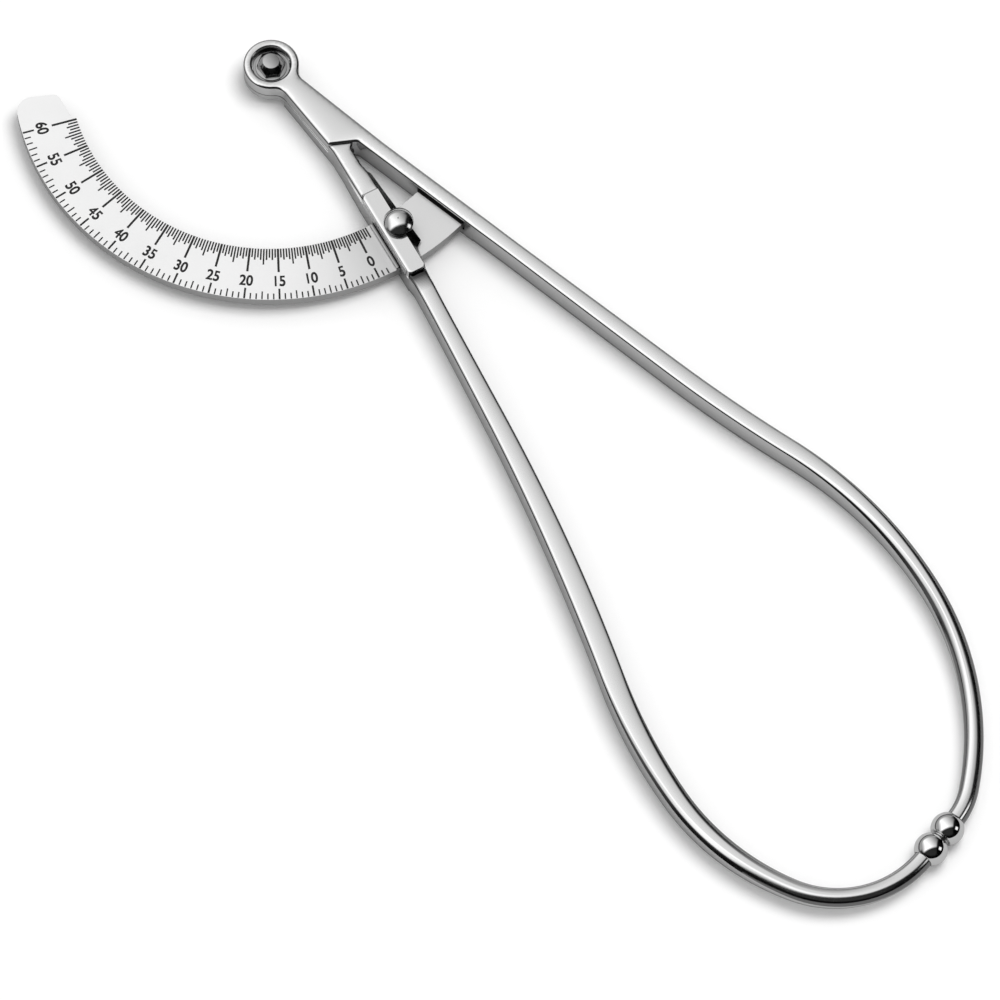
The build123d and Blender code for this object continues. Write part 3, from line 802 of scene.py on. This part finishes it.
def black_filling():
    """Black stove enamel wiped into engraving: matt, a little uneven, with a grain coarser than real."""
    material, tree = new_material("engraving_black_enamel")
    place = add(tree, "ShaderNodeTexCoord").outputs["Object"]
    grain = add(tree, "ShaderNodeTexNoise", {"Vector": place, "Scale": 1 / (0.3 * MM), "Detail": 3.0})
    tones = {"Factor": grain, "A": linear("#0B0B0B"), "B": linear("#1C1C1C")}
    tone = add(tree, "ShaderNodeMix", tones, data_type="RGBA").outputs["Result"]
    rough = add(tree, "ShaderNodeMapRange", {"Value": grain, "To Min": 0.5, "To Max": 0.75})
    relief = add(tree, "ShaderNodeBump", {"Height": grain, "Distance": 0.01 * MM})
    shading = {"Base Color": tone, "Roughness": rough, "Normal": relief}
    add(tree, "ShaderNodeOutputMaterial", {"Surface": add(tree, "ShaderNodeBsdfPrincipled", shading)})
    return material


def table_laminate():
    """White table laminate without a shine: it keeps the shadow, and is painted greyer in the steel's
    reflections.
    """
    material, tree = new_material("white_table_laminate")
    in_metal = add(tree, "ShaderNodeLightPath").outputs["Is Glossy Ray"]
    tones = {"Factor": in_metal, "A": linear("#FFFFFF"), "B": linear("#CCCCCC")}
    tone = add(tree, "ShaderNodeMix", tones, data_type="RGBA").outputs["Result"]
    add(tree, "ShaderNodeOutputMaterial", {"Surface": add(tree, "ShaderNodeBsdfDiffuse", {"Color": tone})})
    return material


FINISHES = {}


def finish_of(maker):
    """A finish, made when a piece first asks for it."""
    if maker.__name__ not in FINISHES:
        FINISHES[maker.__name__] = maker()
    return FINISHES[maker.__name__]


def dress(name, maker):
    """Gives a solid that is shown as it is its finish."""
    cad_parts[name].material_slots[0].material = finish_of(maker)


# Marks that repeat

SOCKET_KINDS = {int: "NodeSocketInt", float: "NodeSocketFloat", tuple: "NodeSocketVector"}
MARK_ANGLES = {"First angle": 0.0, "Pitch": 0.01, "Widening": 0.0}


def new_tree(name, inputs):
    """A tree with named inputs, their defaults and a material. Gives the tree and what its inputs bring."""
    tree = bpy.data.node_groups.new(name, "GeometryNodeTree")
    for label, value in inputs.items():
        socket = tree.interface.new_socket(label, in_out="INPUT", socket_type=SOCKET_KINDS[type(value)])
        socket.default_value = value
    tree.interface.new_socket("Material", in_out="INPUT", socket_type="NodeSocketMaterial")
    tree.interface.new_socket("Geometry", in_out="OUTPUT", socket_type="NodeSocketGeometry")
    return tree, tree.nodes.new("NodeGroupInput").outputs


def close_tree(tree, given, geometry):
    """Makes the instances real and gives them the material."""
    real = add(tree, "GeometryNodeRealizeInstances", {"Geometry": geometry})
    painted = add(tree, "GeometryNodeSetMaterial", {"Geometry": real, "Material": given["Material"]})
    add(tree, "NodeGroupOutput", {0: painted})
    return tree


def mark_angle(tree, given, place):
    """The angle of a mark from its place along the scale, counted in steps between numerals."""
    slope = {0: place, 1: given["Widening"], 2: given["Pitch"]}
    slope = add(tree, "ShaderNodeMath", slope, operation="MULTIPLY_ADD")
    angle = {0: place, 1: slope, 2: given["First angle"]}
    return add(tree, "ShaderNodeMath", angle, operation="MULTIPLY_ADD")


def mark_spot(tree, given, radius, angle):
    """A mark's spot about the hinge, at the height of the marks."""
    spot = add(tree, "ShaderNodeCombineXYZ", {"X": radius, "Z": given["Height"]})
    return add(tree, "ShaderNodeVectorRotate", {"Vector": spot, "Angle": angle}, rotation_type="Z_AXIS")


def line_tree():
    """Radial lines about the hinge, with longer ones every so many."""
    inputs = {"Count": 10, "Before zero": 0, "Divisions": 10, **MARK_ANGLES, "Edge radius": 0.06, "Way": 1.0}
    inputs.update({"Short": 0.003, "Second": 0.004, "Medium": 0.005, "Long": 0.008})
    inputs.update({"Line width": 0.0003, "Height": 0.007})
    tree, given = new_tree("graduation lines", inputs)
    index = add(tree, "GeometryNodeInputIndex")
    number = add(tree, "ShaderNodeMath", {0: index, 1: given["Before zero"]}, operation="SUBTRACT")
    place = add(tree, "ShaderNodeMath", {0: number, 1: given["Divisions"]}, operation="DIVIDE")
    angle = mark_angle(tree, given, place)
    half_step = add(tree, "ShaderNodeMath", {0: given["Divisions"], 1: 0.5}, operation="MULTIPLY")
    length = given["Short"]
    for label, every in (("Second", 2.0), ("Medium", half_step), ("Long", given["Divisions"])):
        rest = add(tree, "ShaderNodeMath", {0: number, 1: every}, operation="FLOORED_MODULO")
        due = add(tree, "ShaderNodeMath", {0: rest, 1: 0.5}, operation="LESS_THAN")
        length = add(tree, "ShaderNodeMix", {"Factor": due, "A": length, "B": given[label]})
    half = add(tree, "ShaderNodeMath", {0: length, 1: 0.5}, operation="MULTIPLY")
    radius = {0: half, 1: given["Way"], 2: given["Edge radius"]}
    radius = add(tree, "ShaderNodeMath", radius, operation="MULTIPLY_ADD")
    spot = mark_spot(tree, given, radius, angle)
    bolder = add(tree, "ShaderNodeMath", {0: due, 1: 0.4, 2: 1.0}, operation="MULTIPLY_ADD")
    width = add(tree, "ShaderNodeMath", {0: given["Line width"], 1: bolder}, operation="MULTIPLY")
    lines = {
        "Points": add(tree, "GeometryNodePoints", {"Count": given["Count"], "Position": spot}),
        "Instance": add(tree, "GeometryNodeMeshCube", {"Size": (1, 1, 1)}),
        "Rotation": add(tree, "ShaderNodeCombineXYZ", {"Z": angle}),
        "Scale": add(tree, "ShaderNodeCombineXYZ", {"X": length, "Y": width, "Z": 0.03 * MM}),
    }
    return close_tree(tree, given, add(tree, "GeometryNodeInstanceOnPoints", lines))


def numeral_tree(count, step):
    """Numerals about the hinge, their heads towards it, drawn bold by a stroke along each outline."""
    inputs = {**MARK_ANGLES, "Radius": 0.0735, "Numeral height": 0.0037, "Narrowing": 0.86}
    tree, given = new_tree("scale numerals", {**inputs, "Boldness": 0.00016, "Height": 0.007})
    nib = add(tree, "GeometryNodeCurvePrimitiveCircle", {"Resolution": 6, "Radius": given["Boldness"]})
    font_size = add(tree, "ShaderNodeMath", {0: given["Numeral height"], 1: 1.38}, operation="MULTIPLY")
    flatten = add(tree, "ShaderNodeCombineXYZ", {"X": given["Narrowing"], "Y": 1.0, "Z": 0.1})
    numerals = []
    for k in range(count):
        written = {"String": str(k * step), "Size": font_size}
        text = add(tree, "GeometryNodeStringToCurves", written, align_x="CENTER", align_y="MIDDLE")
        filled = add(tree, "GeometryNodeFillCurve", {"Curve": text})
        stroke = add(tree, "GeometryNodeCurveToMesh", {"Curve": text, "Profile Curve": nib})
        both = add(tree, "GeometryNodeJoinGeometry", {0: [filled, stroke]})
        small = add(tree, "GeometryNodeTransform", {"Geometry": both, "Scale": flatten})
        angle = mark_angle(tree, given, k)
        spot = mark_spot(tree, given, given["Radius"], angle)
        upright = add(tree, "ShaderNodeMath", {0: angle, 1: pi / 2}, operation="ADD")
        turn = add(tree, "ShaderNodeCombineXYZ", {"Z": upright})
        placing = {"Geometry": small, "Translation": spot, "Rotation": turn}
        numerals.append(add(tree, "GeometryNodeTransform", placing))
    return close_tree(tree, given, add(tree, "GeometryNodeJoinGeometry", {0: numerals}))


def ridge_tree():
    """Small ridges side by side along a straight edge."""
    inputs = {"Count": 30, "Start": (0.0, 0.0, 0.0), "Step": (0.001, 0.0, 0.0)}
    inputs.update({"Ridge size": (0.0003, 0.001, 0.001), "Turn": (0.0, 0.0, 0.0)})
    tree, given = new_tree("grip ridges", inputs)
    line = {"Count": given["Count"], "Start Location": given["Start"], "Offset": given["Step"]}
    ridges = {
        "Points": add(tree, "GeometryNodeMeshLine", line),
        "Instance": add(tree, "GeometryNodeMeshCube", {"Size": (1, 1, 1)}),
        "Rotation": given["Turn"],
        "Scale": given["Ridge size"],
    }
    return close_tree(tree, given, add(tree, "GeometryNodeInstanceOnPoints", ridges))


def grown(name, tree, values, maker):
    """The plain mesh that a tree makes with its inputs set."""
    piece = new_piece(name, bpy.data.meshes.new(name), maker)
    modifier = piece.modifiers.new(tree.name, "NODES")
    modifier.node_group = tree
    sockets = {item.name: item.identifier for item in tree.interface.items_tree if item.in_out == "INPUT"}
    for label, value in dict(values, Material=finish_of(maker)).items():
        modifier[sockets[label]] = value
    return plain_mesh(piece)


# The arms


def dark_foot(place, normal):
    """The foot of an arm's side, which lies on the table, gets painted shade."""
    return SHANK_FOOT if place.z < FOOT_HEIGHT and abs(normal.z) < 0.5 else 0.0


def by_the_arc(place, arm, half, low, high):
    """Whether a place lies where the arc passes an arm, within a half width and between two heights."""
    near = ARC_INNER - 1 < place.to_2d().length < ARC_OUTER + 1
    return near and abs(across_arm(arm, place)) < half - 0.05 and low < place.z < high


def on_bevel(normal):
    """Whether a face leans out on the side of arm B that its bevel runs out of."""
    return normal.dot(left_of(ARM_B["heading"])) > 0.3 and 0.2 < normal.z < 0.95


def dark_in_arm_a(place, normal):
    """Arm A gets black painted shade on its counterbore's wall and in the arc's mortise."""
    in_counterbore = place.to_2d().length < 6.1 and place.z > 6
    if in_counterbore and abs(normal.z) < 0.5:
        return COUNTERBORE
    in_mortise = by_the_arc(place, ARM_A, ARM_A["width"][0] / 2, 3.3, 9.3)
    return 1.0 if in_mortise else dark_foot(place, normal)


def dark_in_arm_b(place, normal):
    """Arm B gets black painted shade in the arc's channel and on the bevel that runs out of its side."""
    bevelled = across_arm(ARM_B, place) > 2.5 and place.to_2d().length > 40 and on_bevel(normal)
    in_channel = by_the_arc(place, ARM_B, BRIDGE_HALF, 3.0, 8.15)
    return 1.0 if bevelled or in_channel else dark_foot(place, normal)


def arm_parts(name, arm, dark, bow):
    """An arm's hinge end and its bow. The name is that of the arm's body and of its solid."""
    shank = mesh_of(shank_copy(name, arm, dark), name)
    front = flat_face_normals(new_piece(name + "_shank", shank, polished_steel))
    back = new_piece(name + "_bow", mesh_of(bow, name + "_bow"), polished_steel)
    settle(front, name, name)
    settle(back, name, name)


class PELVIMETER_OT_arm_a(bpy.types.Operator):
    """Builds the arm that carries the arc"""

    bl_idname = "pelvimeter.arm_a"
    bl_label = "Arm with the arc"

    def execute(self, context):
        start = on_arm(ARM_A, ARM_A["start"])
        pieces = arm_route(start, ARM_A["heading"], ARM_A["bends"], tip_centre(1), CONTACT_HEADING - 180)
        bow = bar_bow(ARM_A, pieces, ARM_A["cut"] - ARM_A["start"])
        arm_parts("arm_a", ARM_A, dark_in_arm_a, bow)
        return {"FINISHED"}


class PELVIMETER_OT_arm_b(bpy.types.Operator):
    """Builds the arm that the arc passes through"""

    bl_idname = "pelvimeter.arm_b"
    bl_label = "Arm with the bridge"

    def execute(self, context):
        turn = ARM_B["run_heading"] - ARM_B["heading"]
        start = on_arm(ARM_B, ARM_B["elbow"]) + arc_shift(ARM_B["heading"], ARM_B["elbow_radius"], turn)
        pieces = [(ARM_B["elbow"] - ARM_B["start"], 0.0), (ARM_B["elbow_radius"] * radians(abs(turn)), turn)]
        lead = route_length(pieces)
        pieces += arm_route(start, ARM_B["run_heading"], ARM_B["bends"], tip_centre(-1), CONTACT_HEADING)
        arm_parts("arm_b", ARM_B, dark_in_arm_b, bar_bow(ARM_B, pieces, 0.0, lead))
        return {"FINISHED"}


class PELVIMETER_OT_tips(bpy.types.Operator):
    """Builds the ball tips and their contact discs"""

    bl_idname = "pelvimeter.tips"
    bl_label = "Ball tips"

    def execute(self, context):
        radius = size("ball_radius")
        hole = WIRE_DIAMETER / 2 + 0.06
        flat = 3.6
        face_angle = degrees(atan2(flat, sqrt(radius**2 - flat**2)))
        hole_angle = -degrees(atan2(sqrt(radius**2 - hole**2), hole))
        ball = [(0, -WIRE_SEAT), (hole, -WIRE_SEAT), (hole, -3.95), (hole + 0.05, -4.08)]
        ball += arc_points(radius, 0, hole_angle + 1.5, face_angle - 1.5, 40)
        ball += [(3.62, flat), (2.9, flat), (0, flat)]
        disc = [(0, 2.2), (1.0, 2.2), (1.0, flat), (2.62, flat), (2.78, flat + 0.08)]
        disc += [(2.8, flat + 0.28), (2.74, flat + 0.45), (2.55, flat + 0.55), (0, flat + 0.55)]
        for side, letter in ((1, "a"), (-1, "b")):
            centre = tip_centre(side) + UP * MID_HEIGHT
            axis = direction(CONTACT_HEADING) * -side
            mesh = mesh_of(lathe(ball, centre, axis), "tip_ball")
            piece = new_piece("ball_tip_" + letter, mesh, ball_steel)
            settle(piece, "arm_" + letter, "tip_ball_" + letter)
            mesh = mesh_of(lathe(disc, centre, axis, 64), "tip_disc")
            piece = new_piece("contact_disc_" + letter, mesh, turned_steel)
            settle(piece, "arm_" + letter, "tip_button_" + letter)
        return {"FINISHED"}


class PELVIMETER_OT_hinge(bpy.types.Operator):
    """Builds the pivot, its nut and its washers"""

    bl_idname = "pelvimeter.hinge"
    bl_label = "Hinge"

    def execute(self, context):
        nut = edged_copy("pivot_nut", "domed_nut", nut_steel, 0.12, 12.0)
        settle(nut, "arm_a", "pivot_nut")
        screw = edged_copy("pivot_screw", "shouldered_screw", turned_steel, 0.12)
        settle(screw, "arm_a", "pivot_screw")
        for name in ("seat_washer", "spring_washer"):
            washer = edged_copy(name, name + "_rounded", spring_steel, 0.08)
            settle(washer, "arm_a", name)
        dress("thrust_washer", spring_steel)
        dress("friction_washer", pad_brass)
        dress("arc_pins", turned_steel)
        return {"FINISHED"}


# The arc


def tone_arc(mesh):
    """The arc gets painted shade: darker near the bridge, dark on its cut sides, black along arm A and its
    edges.
    """
    tone = mesh.attributes.new("unpolished", "FLOAT", "CORNER")
    for face in mesh.polygons:
        by_arm = across_arm(ARM_A, face.center / MM) > -ARM_A["width"][0] / 2 - 0.56
        for loop in face.loop_indices:
            place = mesh.vertices[mesh.loops[loop].vertex_index].co
            if face.normal.z > 0.95:
                value = ARC_BY_ARM if by_arm else between(ARC_SHADE_BY_ANGLE, degrees(atan2(place.y, place.x)))
            else:
                value = ARC_EDGES if face.normal.z > 0.3 else ARC_SIDES
            tone.data[loop].value = value


class PELVIMETER_OT_scale(bpy.types.Operator):
    """Builds the arc with its lines and numerals"""

    bl_idname = "pelvimeter.scale"
    bl_label = "Graduated arc"

    def execute(self, context):
        # The arc is cut where its painted shade changes: at the listed angles, and along arm A.
        cuts = [(Vector((0, 0, 0)), left_of(angle)) for angle, shade_level in ARC_SHADE_BY_ANGLE[:-1]]
        cuts.append((on_arm(ARM_A, 0, -ARM_A["width"][0] / 2 - 0.55), left_of(ARM_A["heading"])))
        arc = edged_copy("scale_arc", "graduated_arc", scale_steel, 0.18, cuts=cuts)
        tone_arc(arc.data)
        settle(arc, "arm_a", "scale_arc")
        marks = context.scene.pelvimeter_scale
        shared = {"First angle": marks.first_angle, "Pitch": marks.pitch, "Widening": marks.widening}
        shared["Height"] = (ARC_TOP + 0.005) * MM
        lines = line_tree()
        # Each edge's divisions, lines before zero, radius and way inward, then its lengths and width of line
        sides = (
            ("inner_lines", marks.inner_parts, 4, ARC_INNER + 0.15, 1.0, (3.0, 3.8, 5.4, 8.0), 0.50),
            ("outer_lines", marks.outer_parts, 2, ARC_OUTER - 0.15, -1.0, (2.0, 2.0, 2.7, 3.6), 0.44),
        )
        for name, parts, before, edge, way, lengths, width in sides:
            values = dict(shared, Divisions=parts, Count=(marks.numerals - 1) * parts + before + 1, Way=way)
            values.update({"Before zero": before, "Edge radius": edge * MM, "Line width": width * MM})
            values.update({k: v * MM for k, v in zip(("Short", "Second", "Medium", "Long"), lengths)})
            settle(grown(name, lines, values, black_filling), "arm_a")
        values = {**shared, "Radius": 0.0738, "Numeral height": marks.height}
        numerals = numeral_tree(marks.numerals, marks.step)
        settle(grown("numerals", numerals, values, black_filling), "arm_a")
        return {"FINISHED"}


# The bridge


def run_points(start, end, count):
    """A straight stretch of an outline, without its last point."""
    (x, y), (to_x, to_y) = start, end
    return [(x + (to_x - x) * k / count, y + (to_y - y) * k / count) for k in range(count)]


def quarter_points(centre, radius, start, count):
    """A quarter circle of an outline from an angle in degrees, without its last point."""
    angles = [radians(start + 90 * k / count) for k in range(count)]
    return [(centre[0] + radius * cos(a), centre[1] + radius * sin(a)) for a in angles]


def bridge_ring(lean, spread, side_in, end_in):
    """The bridge's outline at one level, along and across arm B: scale side, far end, flank, near end."""
    left, near, far = lean - BRIDGE_HALF + side_in, BRIDGE_START + 0.02 + end_in / 3, BRIDGE_END - end_in
    corner = max(0.5, 1.6 - max(side_in, end_in) / 2)
    far_corner = min(corner, 1.0)

    def flank(station):
        return BRIDGE_HALF - side_in / 10 + (between(BRIDGE_FLANK, station) - BRIDGE_HALF) * spread

    points = run_points((near + corner, left), (far - corner, left), 40)
    points += quarter_points((far - corner, left + corner), corner, -90, 10)
    points += run_points((far, left + corner), (far, flank(far) - far_corner), 6)
    points += quarter_points((far - far_corner, flank(far) - far_corner), far_corner, 0, 8)
    points += [(u, flank(u)) for u, v in run_points((far - far_corner, 0.0), (near, 0.0), 60)]
    points += run_points((near, flank(near)), (near, left + corner), 8)
    return points + quarter_points((near + corner, left + corner), corner, 180, 8)


def bridge_shaded_faces(place, normal):
    """The bridge gets black painted shade on its bevel and at its far end."""
    far_end = normal.dot(direction(ARM_B["heading"])) > 0.6 and normal.z < 0.3
    return 1.0 if far_end or on_bevel(normal) else 0.0


def bridge_form(drop=0.42, parts=9):
    """The bridge: widely rounded on the scale's side and at its far end, sharp on its bevelled flank."""
    height = BRIDGE_TOP - BRIDGE_SEAT
    levels = [(BRIDGE_SEAT, (0.0, 1.0, 0.0, 0.0)), (BRIDGE_TOP - drop, (0.3, drop / height, 0.0, 0.0))]
    for k in range(1, parts + 1):
        out, up = corner_at(k / parts, 1.0, 0.0)
        sunk = drop * (1 - up)
        levels.append((BRIDGE_TOP - sunk, (0.3, sunk / height, 1.15 * (1 - out), 0.5 * (1 - out))))
    bm = bmesh.new()
    rings = []
    for z, shape in levels:
        spots = [on_arm(ARM_B, u, v) + UP * z for u, v in bridge_ring(*shape)]
        rings.append([bm.verts.new(spot * MM) for spot in spots])
    skin(bm, rings)
    darken(bm, bridge_shaded_faces)
    return bm


class PELVIMETER_OT_slide(bpy.types.Operator):
    """Builds the bridge with its ridges, and the index under it"""

    bl_idname = "pelvimeter.slide"
    bl_label = "Bridge and index"

    def execute(self, context):
        mesh = mesh_of(bridge_form(), "slide_bridge")
        bridge = flat_face_normals(new_piece("slide_bridge", mesh, bridge_steel))
        settle(bridge, "arm_b", "bridge_plate")
        index = edged_copy("index_plate", "index_strip", bridge_steel, 0.05)
        # Painted shade on the index strip, darker across it towards the bridge.
        tone = index.data.attributes.new("unpolished", "FLOAT", "POINT")
        for vert, value in zip(index.data.vertices, tone.data):
            value.value = 0.3 + 0.62 * max(0.0, across_arm(ARM_B, vert.co / MM) + BRIDGE_HALF + 1.5)
        settle(index, "arm_b", "index_plate")
        dress("bridge_screws", turned_steel)
        count = 66
        first, last = BRIDGE_START + 2.2, BRIDGE_END - 2.2
        start = on_arm(ARM_B, first, 0.1 - BRIDGE_HALF) + UP * 9.6
        step = direction(ARM_B["heading"]) * ((last - first) / (count - 1))
        values = {"Count": count, "Start": start * MM, "Step": step * MM}
        values["Ridge size"] = Vector((0.24, 0.24, 2.5)) * MM
        values["Turn"] = (radians(-7), 0, radians(ARM_B["heading"]))
        settle(grown("bridge_ridges", ridge_tree(), values, scale_steel), "arm_b")
        return {"FINISHED"}


class PELVIMETER_OT_lock(bpy.types.Operator):
    """Builds the lock screw and its pad"""

    bl_idname = "pelvimeter.lock"
    bl_label = "Lock screw"

    def execute(self, context):
        low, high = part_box("lock_screw")
        centre = Vector(((low[0] + high[0]) / 2, (low[1] + high[1]) / 2, 0)) / MM
        radius = size("knob_radius")
        foot, base, top = low[2] / MM, 11.35, high[2] / MM
        rim = base + 1.4
        rise = 2.1
        dome = (radius**2 + rise**2) / (2 * rise)
        half_angle = degrees(asin(radius / dome))
        profile = [(0, foot), (1.4, foot), (1.5, foot + 0.1), (1.5, base)]
        profile += [(radius - 0.22, base), (radius - 0.12, base + 0.1), (radius - 0.02, rim - 0.14)]
        profile += [(radius - 0.06, rim - 0.04), (radius - 0.2, rim), (radius - 0.26, rim + 0.06)]
        profile += [(radius - 0.2, rim + 0.12), (radius - 0.04, rim + 0.15)]
        profile += arc_points(dome, rim + 0.15 + rise - dome, 90.6 - half_angle, 87.0, 36)
        profile += [(0.2, top - 0.08), (0, top - 0.16)]
        solid = lathe(profile, centre, UP, 128)
        # Painted shade: the knob's side below its rim is darkened.
        darken(solid, lambda place, normal: KNOB_SIDE if place.z < rim - 0.02 else 0.0)
        knob = new_piece("domed_lock_screw", mesh_of(solid, "lock_screw"), knob_steel)
        settle(knob, "lock_screw", "lock_screw")
        dress("pressure_pad", pad_brass)
        return {"FINISHED"}


# The stage


def make_floor():
    """A plain table top, a tenth of a millimetre under the instrument."""
    bm = bmesh.new()
    bmesh.ops.create_grid(bm, x_segments=1, y_segments=1, size=1.2)
    bmesh.ops.translate(bm, verts=bm.verts, vec=(0.16, -0.03, -0.0001))
    new_piece("floor", mesh_of(bm, "floor"), table_laminate)


def aim_from(item, aim, offset):
    """Stands a lamp or the camera at an offset from the place it looks at."""
    item.location = aim + offset
    item.rotation_mode = "QUATERNION"
    item.rotation_quaternion = (-offset).to_track_quat("-Z", "Y")


def picture_way(right, up, rise):
    """A direction given by the picture: right, up along the table, and up from the table."""
    return Vector((0.615, 0.789, 0)) * right + Vector((-0.789, 0.615, 0)) * up + UP * rise


def make_lamp():
    """A broad lamp almost overhead, to the upper right of the picture. The steel doesn't mirror it."""
    light = bpy.data.lights.new("key", "AREA")
    light.shape = "DISK"
    light.size = 1.0
    light.energy = 13.6
    lamp = new_object("key", light)
    lamp.visible_glossy = False
    aim_from(lamp, Vector((0.16, -0.03, 0)), picture_way(0.30, 0.16, 1.0) * 1.6)


def make_surroundings():
    """A studio seen in the steel: a broad soft box overhead to the left, dark to the right and in front."""
    world = bpy.data.worlds.new("studio")
    bpy.context.scene.world = world
    world.use_nodes = True
    tree = world.node_tree
    tree.nodes.clear()
    way = add(tree, "ShaderNodeTexCoord").outputs["Generated"]
    height = add(tree, "ShaderNodeSeparateXYZ", {"Vector": way}).outputs["Z"]
    shares = []
    for axis in (picture_way(1.0, 0.0, 0.0), picture_way(0.0, 1.0, 0.0)):
        share = add(tree, "ShaderNodeVectorMath", {0: way, 1: axis}, operation="DOT_PRODUCT")
        shares.append(share.outputs["Value"])
    right, away = shares
    across = add(tree, "ShaderNodeMath", {0: away, 1: 0.7, 2: right}, operation="MULTIPLY_ADD")
    nearer = add(tree, "ShaderNodeMath", {0: right, 1: -0.35, 2: away}, operation="MULTIPLY_ADD")
    backward = add(tree, "ShaderNodeMath", {0: away, 1: right}, operation="SUBTRACT")
    beside = add(tree, "ShaderNodeMath", {0: away, 1: -0.12}, operation="SUBTRACT")
    beside = add(tree, "ShaderNodeMath", {0: beside}, operation="ABSOLUTE")
    above = add(tree, "ShaderNodeMath", {0: height, 1: 0.42}, operation="SUBTRACT")
    above = add(tree, "ShaderNodeMath", {0: above}, operation="ABSOLUTE")
    soft_box = [
        ("panel", across, -0.25, 1.15, 1.6, 0.12),
        ("low", height, 0.22, 0.50, 0.02, 1.0),
        ("front", nearer, -0.40, -0.14, 0.02, 1.0),
        ("side", right, 0.50, 0.68, 1.0, 0.02),
        ("left", right, -0.90, -0.60, 0.35, 1.0),
    ]
    wall = [
        ("shelf", height, 0.07, 0.13, 0.0, 0.45),
        ("behind", backward, 0.30, 0.70, 0.0, 1.0),
        ("beyond", away, -0.38, -0.08, 0.0, 1.0),
    ]
    window = [
        ("window_wide", beside, 0.10, 0.20, 1.4, 0.0),
        ("window_tall", above, 0.10, 0.20, 1.0, 0.0),
        ("window_side", right, 0.5, 0.6, 0.0, 1.0),
    ]
    seen = []
    for spans in (soft_box, wall, window):
        level = 1.0
        for label, value, start, end, first, last in spans:
            values = {"Value": value, "From Min": start, "From Max": end, "To Min": first, "To Max": last}
            kind = "LINEAR" if label == "panel" else "SMOOTHSTEP"
            part = add(tree, "ShaderNodeMapRange", values, interpolation_type=kind, label=label)
            level = add(tree, "ShaderNodeMath", {0: level, 1: part}, operation="MULTIPLY")
        seen.append(level)
    bright = add(tree, "ShaderNodeMath", {0: seen[0], 1: seen[1]}, operation="MAXIMUM")
    bright = add(tree, "ShaderNodeMath", {0: bright, 1: seen[2]}, operation="ADD")
    in_metal = add(tree, "ShaderNodeLightPath").outputs["Is Glossy Ray"]
    level = add(tree, "ShaderNodeMix", {"Factor": in_metal, "A": 0.68, "B": bright})
    back = add(tree, "ShaderNodeBackground", {"Color": (1, 1, 1, 1), "Strength": level})
    add(tree, "ShaderNodeOutputWorld", {"Surface": back})


def make_camera():
    """The photograph's view: 64.5 degrees above the table, from far away with a long lens."""
    camera = new_object("camera", bpy.data.cameras.new("camera"))
    azimuth, elevation = radians(52.05), radians(64.5)
    back = Vector((sin(azimuth) * cos(elevation), -cos(azimuth) * cos(elevation), sin(elevation)))
    aim_from(camera, Vector((0.1576, -0.0331, 0)), back * 3.815)
    camera.data.lens = 450
    camera.data.sensor_width = 36
    camera.data.clip_start = 0.1
    camera.data.clip_end = 20
    bpy.context.scene.camera = camera


class PELVIMETER_OT_stage(bpy.types.Operator):
    """Builds the floor, the lamp, the surroundings and the camera"""

    bl_idname = "pelvimeter.stage"
    bl_label = "Stage"

    def execute(self, context):
        make_floor()
        make_lamp()
        make_surroundings()
        make_camera()
        context.scene.view_settings.view_transform = "Standard"
        return {"FINISHED"}


class PELVIMETER_PT_panel(bpy.types.Panel):
    """Lists the sizes and the pieces"""

    bl_idname = "PELVIMETER_PT_panel"
    bl_label = "Pelvimeter"
    bl_space_type = "VIEW_3D"
    bl_region_type = "UI"
    bl_category = "Pelvimeter"

    def draw(self, context):
        for name in SETTINGS:
            settings = getattr(context.scene, name)
            box = self.layout.box()
            for label in settings.__annotations__:
                box.prop(settings, label)
        for operator in PIECES:
            self.layout.operator(operator.bl_idname)


PIECES = (
    PELVIMETER_OT_arm_a,
    PELVIMETER_OT_arm_b,
    PELVIMETER_OT_tips,
    PELVIMETER_OT_hinge,
    PELVIMETER_OT_scale,
    PELVIMETER_OT_slide,
    PELVIMETER_OT_lock,
    PELVIMETER_OT_stage,
)
SETTINGS = {
    "pelvimeter_sizes": PelvimeterSizes,
    "pelvimeter_scale": PelvimeterScale,
    "pelvimeter_finish": PelvimeterFinish,
}
CLASSES = (*SETTINGS.values(), *PIECES, PELVIMETER_PT_panel)


def register():
    for kind in CLASSES:
        bpy.utils.register_class(kind)
    for name, group in SETTINGS.items():
        setattr(bpy.types.Scene, name, PointerProperty(type=group))


def unregister():
    for name in SETTINGS:
        delattr(bpy.types.Scene, name)
    for kind in reversed(CLASSES):
        bpy.utils.unregister_class(kind)


def main():
    register()
    bpy.ops.pelvimeter.arm_a()
    bpy.ops.pelvimeter.arm_b()
    bpy.ops.pelvimeter.tips()
    bpy.ops.pelvimeter.hinge()
    bpy.ops.pelvimeter.scale()
    bpy.ops.pelvimeter.slide()
    bpy.ops.pelvimeter.lock()
    bpy.ops.pelvimeter.stage()


if __name__ == "__main__":
    main()
